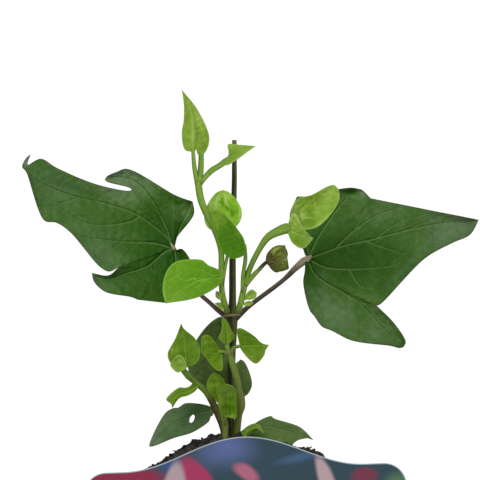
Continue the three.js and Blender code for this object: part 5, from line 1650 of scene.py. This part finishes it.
@dataclass
class FrontShoot(Shoot):
    """The short shoot in front: two small cupped leaves on one stem."""

    name: str = "front_shoot_leaves"
    node: str = "front_shoot"
    finishes: Finishes = (SHOOT_LEAF, YOUNG_UNDER, OLIVE_STEM)
    stem: Path = ((-4.8, 96, -5, 0.95), (-4.9, 106, -5.6, 0.95), (-5, 110.4, -6.2, 0.9),
        (-7, 116.6, -6.3, 0.6))
    stalks: Paths = (((-5, 109.6, -6.4, 0.7), (-4.7, 112.6, -8.3, 0.5)),)
    # The two leaves, with finishes 0 low and 1 below. Their round patches and streak paint
    # light and shade.
    rear: Blade = leaf(((-6.8, 115.8), (-8, 120.6), (-8.6, 126.8)), ((-11.1, 121.9), (-10, 125.7)),
        ((-5.2, 118), (-5, 123.5), (-6.7, 125.8)), Hang(-6.2, (0.1, -0.02), cup=-0.1), (0, 1),
        SideVeins(2.4, 0.4, 0.25), tints=(PaintedShading(-8.6, 122, 2.4, 0.5),))
    fore: Blade = leaf(((-4.5, 112), (-4.2, 117), (-4.4, 123.1)),
        ((-5.8, 112.9), (-7.2, 117.1), (-6.6, 121.1), (-5.5, 122.6)),
        ((-1.4, 111.7), (-1.2, 116), (-1.9, 121.8)), Hang(-8.4, (0, -0.1), cup=-0.25), (0, 1),
        SideVeins(2.4, 0.4, 0.2),
        tints=(PaintedShading(-2.3, 112.4, 1.1, 0.9), PaintedShading(-4, 120.5, 2.2, -0.4, 0.15), PaintedShading(-6.6, 117.5, 1.5, 0.5)),
        streaks=(Streak(((-4.6, 116.6), (-3.5, 112.8)), 0.7, -1.4, dip=0.3),))


# The single leaves low on the plant and behind the stems.


class LowLeaf(Enum):
    """Where a single leaf grows."""

    SOIL_LEFT = "old_leaf_left"
    SOIL_RIGHT = "old_leaf_right"
    BEHIND_LEFT = "back_leaf_left"
    BEHIND_RIGHT = "back_leaf_right"
    SPROUT = "soil_sprout"


@dataclass
class SingleLeaf(Shoot):
    """A leaf on its own stalk, which is the stem. Finish 0 is above and 1 below."""

    blade: Blade | None = None


def single_leaves() -> list[SingleLeaf]:
    """The two old leaves near the soil, the two behind the stems, and the sprout."""
    flat = Relief(0.16, 0.25, 0.25, 11, 0.06, 2.6)
    # The round patches on these leaves paint light, shade and a grey sheen.
    soil_left = leaf(((-9.2, 114), (-15, 113), (-22.4, 109.6), (-30.3, 102.1)),
        ((-8.9, 112.8), (-9.7, 112.1), (-10.4, 110.5), (-16, 106.8), (-22, 105), (-28.7, 102.3)),
        ((-9.4, 115.2), (-18, 116.6), (-20.7, 115.1), (-22, 115), (-24.7, 113.5), (-29.8, 104.2)),
        Hang(-3, (-0.25, 0.45), cup=0.08), (0, 1), SideVeins(3, 0.5, 0.3),
        tints=(PaintedShading(-25, 110, 4, 0.3, 0.1), PaintedShading(-13.4, 112.4, 2.6, -0.7), PaintedShading(-28.6, 104.4, 2.4, 0.3, 0.4)),
        relief=flat, hole=(-16, 111.4, 0.85, 1.5, 20))
    soil_right = leaf(((3.4, 107.8), (7, 109), (18.4, 106.8), (24.5, 104.3)),
        ((4.6, 109.6), (10.4, 112.3), (11.2, 111.6), (20, 108.6)),
        ((4.4, 105.8), (6.2, 105.2), (15, 102.3), (16.8, 102.5), (19.5, 104.3), (23, 104.9)),
        Hang(-2, (0.2, 0.55), cup=0.02), (0, 1), SideVeins(3, 0.45, 0.3), tints=(PaintedShading(12, 106, 4, 0.3),),
        relief=flat)
    behind_left = leaf(((-5, 143.2), (-8.6, 136), (-12.4, 122)), ((-3.2, 139), (-4.6, 120.8), (-9, 120)),
        ((-6.2, 145.4), (-10.7, 142.7), (-17, 132.6), (-17, 127), (-14, 123)),
        Hang(6.8, (-0.1, -0.3), cup=0.06), (0, 1), SideVeins(3.4, 0.45, 0.3), relief=flat)
    behind_right = leaf(((1.2, 118.6), (0.2, 131.2)), ((-1.6, 119.4), (-3, 124), (-2, 129)),
        ((2.7, 119.7), (4, 123), (1.5, 130.3)), Hang(3.8, (0.2, 0.4), cup=0.1), (0, 1),
        SideVeins(2.4, 0.45, 0.25), tints=(PaintedShading(2.6, 125, 3, 0.3),), relief=flat)
    sprout = leaf(((0.4, 106.6), (2.2, 107.4), (4.4, 108.7), (6.5, 108.4), (7.9, 106.5)),
        ((1.2, 107.9), (5, 109.8), (7.6, 107.8)), ((1.8, 105.5), (5.5, 108)),
        Hang(-6.2, (-0.3, 0.5), cup=0.5), (0, 1), SideVeins(2.4, 0.3, 0.12),
        tints=(PaintedShading(1.4, 106.8, 1.4, 0.3), PaintedShading(6.4, 108.4, 1.2, 0.4, 0.2)))
    low, low_right, behind = (
        (upper, OLD_LEAF_UNDER, OLIVE_STEM) for upper in (LOW_LEAF, LOW_LEAF_RIGHT, BACK_LEAF))
    young = (SHOOT_LEAF, YOUNG_UNDER, GREEN_STEM)
    rows = (
        ("eaten_leaf_left", LowLeaf.SOIL_LEFT, low, soil_left,
            ((-7.6, 113.4, -2.2, 0.5), (-9.8, 114, -2.6, 0.3))),
        ("low_leaf_right", LowLeaf.SOIL_RIGHT, low_right, soil_right,
            ((3.2, 98, -1.6, 0.6), (3.6, 106, -1.9, 0.6), (4.8, 108.6, -2, 0.55), (7, 109, -2.2, 0.4))),
        ("shaded_leaf_left", LowLeaf.BEHIND_LEFT, behind, behind_left,
            ((-3, 142.6, 1.8, 0.6), (-4.4, 143.6, 5, 0.5), (-6, 141.4, 7.4, 0.3))),
        ("shaded_leaf_right", LowLeaf.BEHIND_RIGHT, behind, behind_right,
            ((0, 112.4, -0.8, 0.5), (1.2, 115.4, 1.8, 0.5), (1.2, 120, 4.2, 0.3))),
        ("arched_sprout", LowLeaf.SPROUT, young, sprout,
            ((1.6, 98, -6, 0.7), (1.6, 105.6, -6, 0.7), (2.6, 107.6, -6.6, 0.5))),
    )
    return [SingleLeaf(name, place.value, finishes, stalk, blade=blade)
        for name, place, finishes, blade, stalk in rows]


# The pot, the soil and the label.


@dataclass
class NurseryPot(Part):
    """A round nursery pot: a tapered wall, a band at the rim, a floor and holes to drain it."""

    name: str = "turned_nursery_pot"
    node: str = "pot"
    finishes: Finishes = (POT_BLACK,)
    diameter: float = 90
    height: float = 90
    base_diameter: float = 63
    wall: float = 1.2
    floor: float = 1.8
    lip_round: float = 0.5
    foot_round: float = 1
    bend: float = 0.8
    band_height: float = 11
    band_step: float = 1.4
    hole_diameter: float = 8
    holes: int = 6
    hole_circle: float = 21
    sides: int = 180

    def inner_radius(self, height: float) -> float:
        """Radius of the wall's inside, straight from the floor to the band.

        Args:
            height: The height at which it is wanted.

        Returns:
            The radius.
        """
        share = (height - self.floor) / (self.height - self.band_height - self.floor)
        top = self.diameter / 2 - self.band_step
        return self.base_diameter / 2 + (top - self.base_diameter / 2) * share - self.wall

    def profile(self) -> Array:
        """The turned outline as radius and height, from the floor's middle round to its inside."""
        outer, base, top, foot = self.diameter / 2, self.base_diameter / 2, self.height, self.foot_round
        under, neck, inside = top - self.band_height, outer - self.band_step, outer - self.wall
        middle, floor, bend, lip = outer - self.lip_round, self.floor, self.bend, self.lip_round
        quarter = [(math.sin(a), math.cos(a)) for a in np.linspace(0, np.pi / 2, 5)]
        points = [(10, 0), (20, 0), (base - 2 * foot, 0),
            *((base - foot + foot * sin, foot - foot * cos) for sin, cos in quarter),
            (neck - 0.05, under - 0.4), (neck + 0.3, under), (middle, under), (outer - 0.1, under + 0.2),
            (outer, under + 0.6), (outer, under + 5.5),
            *((middle + lip * cos, top - lip + lip * sin) for sin, cos in quarter),
            (inside + 0.2, top), (inside, top - 0.3), (inside, under + 1),
            (self.inner_radius(under - 1), under - 1), (self.inner_radius(floor + bend), floor + bend),
            (self.inner_radius(floor) - bend, floor), (20, floor), (10, floor)]
        return np.array(points)

    def build(self) -> Surface:
        """The outline turned about the upright axis."""
        radius, height = self.profile().T
        return turned_closed(level_rings(radius, height, self.sides), {})

    def drills(self) -> Surface:
        """Upright rods through the floor, where the holes go."""
        rod = level_rings(np.full(2, self.hole_diameter / 2), np.array([-3, 5]), 32)
        middles = level_rings(np.array([self.hole_circle]), np.zeros(1), self.holes * 2)[0, 1::2]
        return joined([turned_closed(rod + middle, {}) for middle in middles])

    def dress(self, surface: Surface) -> Object:
        """Puts black polypropylene on the pot and drills its holes.

        Args:
            surface: The pot without its holes.

        Returns:
            The pot. Its sharp turns keep their edges where faces meet at over 35 degrees.
        """
        cutter = put("drain_drills", mesh_of("drain_drills", self.drills()))
        pot = super().dress(surface)
        drilling = pot.modifiers.new("drain holes", "BOOLEAN")
        drilling.object, drilling.operation, drilling.solver = cutter, "DIFFERENCE", "EXACT"
        drilled = pot.evaluated_get(bpy.context.evaluated_depsgraph_get())
        pot.data = bpy.data.meshes.new_from_object(drilled)
        pot.modifiers.clear()
        pot.data.set_sharp_from_angle(angle=math.radians(35))
        bpy.data.objects.remove(cutter)
        return pot


@dataclass
class PeatSoil(Part):
    """The peat: a crumbly mound above the rim, with loose crumbs and shreds on it.

    A heap is the x of its middle, its half width and its rise, below 0 for a hollow.
    """

    name: str = "crumbly_peat"
    node: str = "soil"
    finishes: Finishes = (PeatFinish(),)
    crown: float = 106.4
    wall_height: float = 88
    reach: float = 41.5
    mound_reach: float = 42.15
    foot_radius: float = 41.0
    foot_height: float = 74.0
    rings: int = 120
    sides: int = 300
    crumbs: int = 1100
    shreds: int = 160
    heaps: Path = ((-16, 9, 0.6), (-27, 7, -1.8), (26, 4, 2))
    heap_depth: float = 16

    def height(self, x: Array, y: Array) -> Array:
        """Height of the mound.

        It falls by the radius over the reach to the power 1.6. Heaps are bell curves across
        and in depth, and clods are products and sums of sines.

        Args:
            x: Places across.
            y: Places in depth.

        Returns:
            The heights.
        """
        radius = np.hypot(x, y)
        drop = np.minimum(1, radius / self.mound_reach) ** 1.6
        mound = self.wall_height + (self.crown - self.wall_height) * (1 - drop)
        heaps = sum(rise * np.exp(-(((x - at) / reach) ** 2) - (y / self.heap_depth) ** 2)
            for at, reach, rise in self.heaps)
        clods = np.sin(x * 0.9 + y * 0.4) * np.cos(y * 1.1 - x * 0.3) + np.sin(x * 0.37 - y * 0.61)
        return mound + heaps + 0.4 * clods

    def fine_height(self, x: Array, y: Array) -> Array:
        """The mound with ripples of 5, 2.6 and 1.3 millimetres.

        Args:
            x: Places across.
            y: Places in depth.

        Returns:
            The heights.
        """
        rough = 0.45 * ripples(x, y, 5, 1, 14) + 0.4 * np.abs(ripples(x, y, 2.6, 2, 14))
        rough += 0.22 * ripples(x, y, 1.3, 3, 14)
        return self.height(x, y) - 0.45 + rough

    def bed(self) -> Surface:
        """The mound's skin as rings round the axis, closed below inside the pot."""
        shares = np.linspace(1, 1 / self.rings, self.rings) ** 0.85
        top = level_rings(self.reach * shares, shares, self.sides)
        x, y = top[..., 0], top[..., 1]
        top[..., 2] = self.fine_height(x, y)
        foot = level_rings(np.array([self.foot_radius]), np.array([self.foot_height]), self.sides)
        tone = 0.5 * ripples(x, y, 7, 4)
        return turned_closed(np.vstack([foot, top]), {"tone": np.vstack([0 * tone[:1], tone])})

    def scattered(
        self, count: int, size: Pair, stretch: Pair, seed: int, rings: int, sides: int
    ) -> Surface:
        """Lumps strewn over the mound.

        Each is a ball whose points move in and out by random shares, stretched and turned.

        Args:
            count: How many lumps.
            size: Smallest and largest radius.
            stretch: Smallest and largest length over radius.
            seed: Number that fixes the draw.
            rings: Rings of points of a lump.
            sides: Points in each ring.

        Returns:
            All the lumps.
        """
        draw = np.random.default_rng(SEED + seed)
        down = np.linspace(0, np.pi, rings + 2)[1:-1]
        ball = turned_closed(level_rings(np.sin(down), np.cos(down), sides), {})
        radius, length = draw.uniform(*size, count), draw.uniform(*stretch, count)
        shape = np.stack([radius * length, radius, 0.8 * radius], axis=1)[:, None]
        lumps = ball.points * draw.uniform(0.7, 1.25, (count, len(ball.points), 1)) * shape
        turns = ((2, draw.normal(0, 0.3, count)), (1, draw.uniform(0, 2 * np.pi, count)))
        for other, angle in turns:
            turned = (lumps[..., 0] + 1j * lumps[..., other]) * np.exp(1j * angle)[:, None]
            lumps[..., 0], lumps[..., other] = turned.real, turned.imag
        away = (self.reach - 1.5) * np.sqrt(draw.uniform(0.004, 1, count))
        bearing = draw.uniform(0, 2 * np.pi, count)
        x, y = away * np.cos(bearing), away * np.sin(bearing)
        lumps += np.stack([x, y, self.fine_height(x, y) + radius * 0.25], axis=1)[:, None]
        triangles = ball.triangles + len(ball.points) * np.arange(count)[:, None, None]
        tone = np.repeat(draw.uniform(-0.6, 1.0, count), len(ball.points))
        return Surface(lumps.reshape(-1, 3), triangles.reshape(-1, 3), {"tone": tone})

    def build(self) -> Surface:
        """The bed with its crumbs and shreds."""
        crumbs = self.scattered(self.crumbs, (0.25, 0.8), (0.8, 1.5), 5, 4, 7)
        shreds = self.scattered(self.shreds, (0.22, 0.4), (3.0, 8.0), 6, 3, 5)
        return joined([self.bed(), crumbs, shreds])


@dataclass
class PictureLabel(Part):
    """A flat printed card with a bell-shaped top, and the tongue that hooks it on the rim."""

    name: str = "printed_card"
    node: str = "picture_label"
    finishes: Finishes = (PrintFinish(), CARD_WHITE)
    width: float = 99.6
    bottom: float = 12
    shoulder: float = 100.8
    bell_height: float = 9.6
    bell_reach: float = 37
    corner: float = 7
    thickness: float = 0.6
    roll: float = math.radians(2)
    offset: float = 1.4
    back: float = -45.3
    tongue_width: float = 16
    tongue_drop: float = 9
    tongue_bend: float = 0.7
    tongue_depth: float = -42.5
    rim_height: float = 90.3
    border: float = 0.26

    def edge_dip(self, x: Array) -> Array:
        """How far a rounded corner lies inside the square one, as the circle gives it."""
        past = np.clip(np.abs(x) - (self.width / 2 - self.corner), 0, self.corner)
        return self.corner - np.sqrt(self.corner**2 - past**2)

    def top(self, x: Array) -> Array:
        """The top edge: the shoulder and half a cosine wave as the bell, less the corners."""
        share = np.minimum(1, np.abs(x) / self.bell_reach)
        return self.shoulder + self.bell_height * 0.5 * (1 + np.cos(np.pi * share)) - self.edge_dip(x)

    def card(self) -> Surface:
        """The card as a grid: across by x, and up by the share from the bottom to the top edge.

        Rows and columns crowd within the white border, so that it keeps its width.
        """
        half = self.width / 2
        near = np.array([0, 0.5, 1, 1.6]) * self.border
        columns = np.concatenate([near - half, np.linspace(1 - half, half - 1, 160), half - near[::-1]])
        low, high = self.bottom + self.edge_dip(columns), self.top(columns)
        shares = np.linspace(0, 1, 40)[1:-1, None]
        inner = low + near[-1] + (high - low - 2 * near[-1]) * shares
        z = np.vstack([low + near[:, None], inner, high - near[::-1, None]])
        x = np.broadcast_to(columns, z.shape)
        square = 1 / np.sqrt(1 + np.clip(np.gradient(high, columns), -3, 3) ** 2)
        gap = np.minimum.reduce([(high - z) * square, z - low, half - np.abs(x)])
        marks = {"rim": np.clip(1 - gap / self.border * 0.5, 0, 1).ravel()}
        cos, sin, up = math.cos(self.roll), math.sin(self.roll), z - self.shoulder
        depth = np.full(x.shape, self.back - self.thickness / 2)
        across, height = x * cos - up * sin + self.offset, self.shoulder + x * sin + up * cos
        points = np.stack([across, depth, height], axis=-1)
        sheet = Surface(points.reshape(-1, 3), grid_triangles(*x.shape), marks).faces_viewer()
        solid = thickened(sheet, np.full(x.size, self.thickness), (0, 1))
        solid.skins[2 * len(sheet.triangles) :] = 1
        return solid

    def tongue(self) -> Surface:
        """The tongue: a strip carried over the rim and down inside it, with round bends."""
        bend, turn = self.tongue_bend, np.linspace(0, np.pi / 2, 7)
        top, rear = self.rim_height + self.thickness / 2, self.tongue_depth + self.thickness / 2
        curved = zip(rear - bend + bend * np.sin(turn), top - bend + bend * np.cos(turn))
        foot = (rear, self.rim_height - self.tongue_drop)
        line = np.array([(self.back - 0.1, top), (rear - bend, top), *curved, foot])
        across = self.offset + self.tongue_width * np.linspace(-0.5, 0.5, 9)
        x, y = np.meshgrid(across, line[:, 0])
        points = np.stack([x, y, np.tile(line[:, 1:], 9)], axis=-1).reshape(-1, 3)
        strip = Surface(points, grid_triangles(*x.shape))
        return thickened(strip, np.full(x.size, self.thickness), (1, 1)).faces_out()

    def build(self) -> Surface:
        """The card and its tongue."""
        return joined([self.card(), self.tongue()])


@dataclass
class Studio:
    """The camera, the soft lights, the white surroundings and the pale floor, in metres."""

    lens: float = 135
    distance: float = 0.6
    height: float = 0.171
    key_power: float = 9.0
    fill_power: float = 1.4
    rear_power: float = 2.0
    surround: float = 0.4
    backdrop: float = 1.05
    floor_radius: float = 0.6
    aim: Triple = (0, 0, 0.15)

    def camera(self) -> None:
        """Puts the camera in front, level, at the height of the leaves."""
        data = bpy.data.cameras.new("view")
        data.lens, data.sensor_width, data.clip_start = self.lens, 36, 0.01
        eye = put("view", data)
        eye.location = (0, -self.distance, self.height)
        eye.rotation_euler = (math.radians(90), 0, 0)
        bpy.context.scene.camera = eye

    def lamp(self, name: str, place: Triple, size: float, power: float) -> None:
        """Hangs a square soft light that points at the plant.

        Args:
            name: The lamp's name.
            place: Where it hangs.
            size: Its side.
            power: Its power in watts.
        """
        data = bpy.data.lights.new(name, "AREA")
        data.size, data.energy = size, power
        lamp = put(name, data)
        lamp.location = place
        sight = Vector(self.aim) - Vector(place)
        lamp.rotation_euler = sight.to_track_quat("-Z", "Y").to_euler()

    def surroundings(self) -> None:
        """White for the eye, and an even dimmer light for the plant."""
        world = bpy.data.worlds.new("white room")
        world.use_nodes = True
        tree = world.node_tree
        inputs = {0: add(tree, "LightPath", {}, "Is Camera Ray")}
        for place, strength in ((1, self.surround), (2, self.backdrop)):
            inputs[place] = add(tree, "Background", {"Color": (1, 1, 1, 1), "Strength": strength})
        feed(tree.nodes["World Output"], {"Surface": add(tree, "MixShader", inputs)})
        bpy.context.scene.world = world

    def floor(self) -> None:
        """A round pale floor under the pot, from rings of growing radius."""
        radius = np.linspace(0.02, 1, 12) * self.floor_radius / MM
        top = level_rings(radius, np.full(12, -0.05), 96)
        mesh = mesh_of("pale_floor", turned_closed(np.concatenate([top, top[::-1] - [0, 0, 4]]), {}))
        material, tree = empty("matt white board")
        cloud = grain(tree, 120, 2.0)
        layers = [(cloud, 0.3, 0.7, 1, "#ecebe8")]
        mesh.materials.append(finished(material, "#f2f2f0", layers, (cloud, 0, 1, 0.9, 0.9), []))
        put("pale_floor", mesh)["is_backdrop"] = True

    def build(self) -> None:
        """Sets up the whole studio."""
        bpy.context.scene.view_settings.view_transform = "Standard"
        self.camera()
        self.lamp("key", (-0.45, -0.8, 0.95), 0.7, self.key_power)
        self.lamp("fill", (0.7, -0.5, 0.35), 0.8, self.fill_power)
        self.lamp("rear", (0.1, 0.8, 0.9), 0.8, self.rear_power)
        self.surroundings()
        self.floor()


def main() -> None:
    """Builds the studio and every piece in order, and works out the boxes of solids and pieces."""
    logging.basicConfig(level=logging.INFO, format="%(message)s")
    Studio().build()
    parts = [NurseryPot(), PeatSoil(), PictureLabel(), MainStem(), BigLeafLeft(), BigLeafRight(),
        LeftShoot(), RightShoot(), Bud(), LowerLeftShoot(), LowerRightShoot(), FrontShoot(),
        *single_leaves()]
    for part in parts:
        part.dress(part.build())
    boxes = {"cad": SOLID_BOX, "visual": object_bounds()}
    plain = {name: [list(corner) for corner in box] for name, box in boxes.items()}


if __name__ == "__main__":
    main()
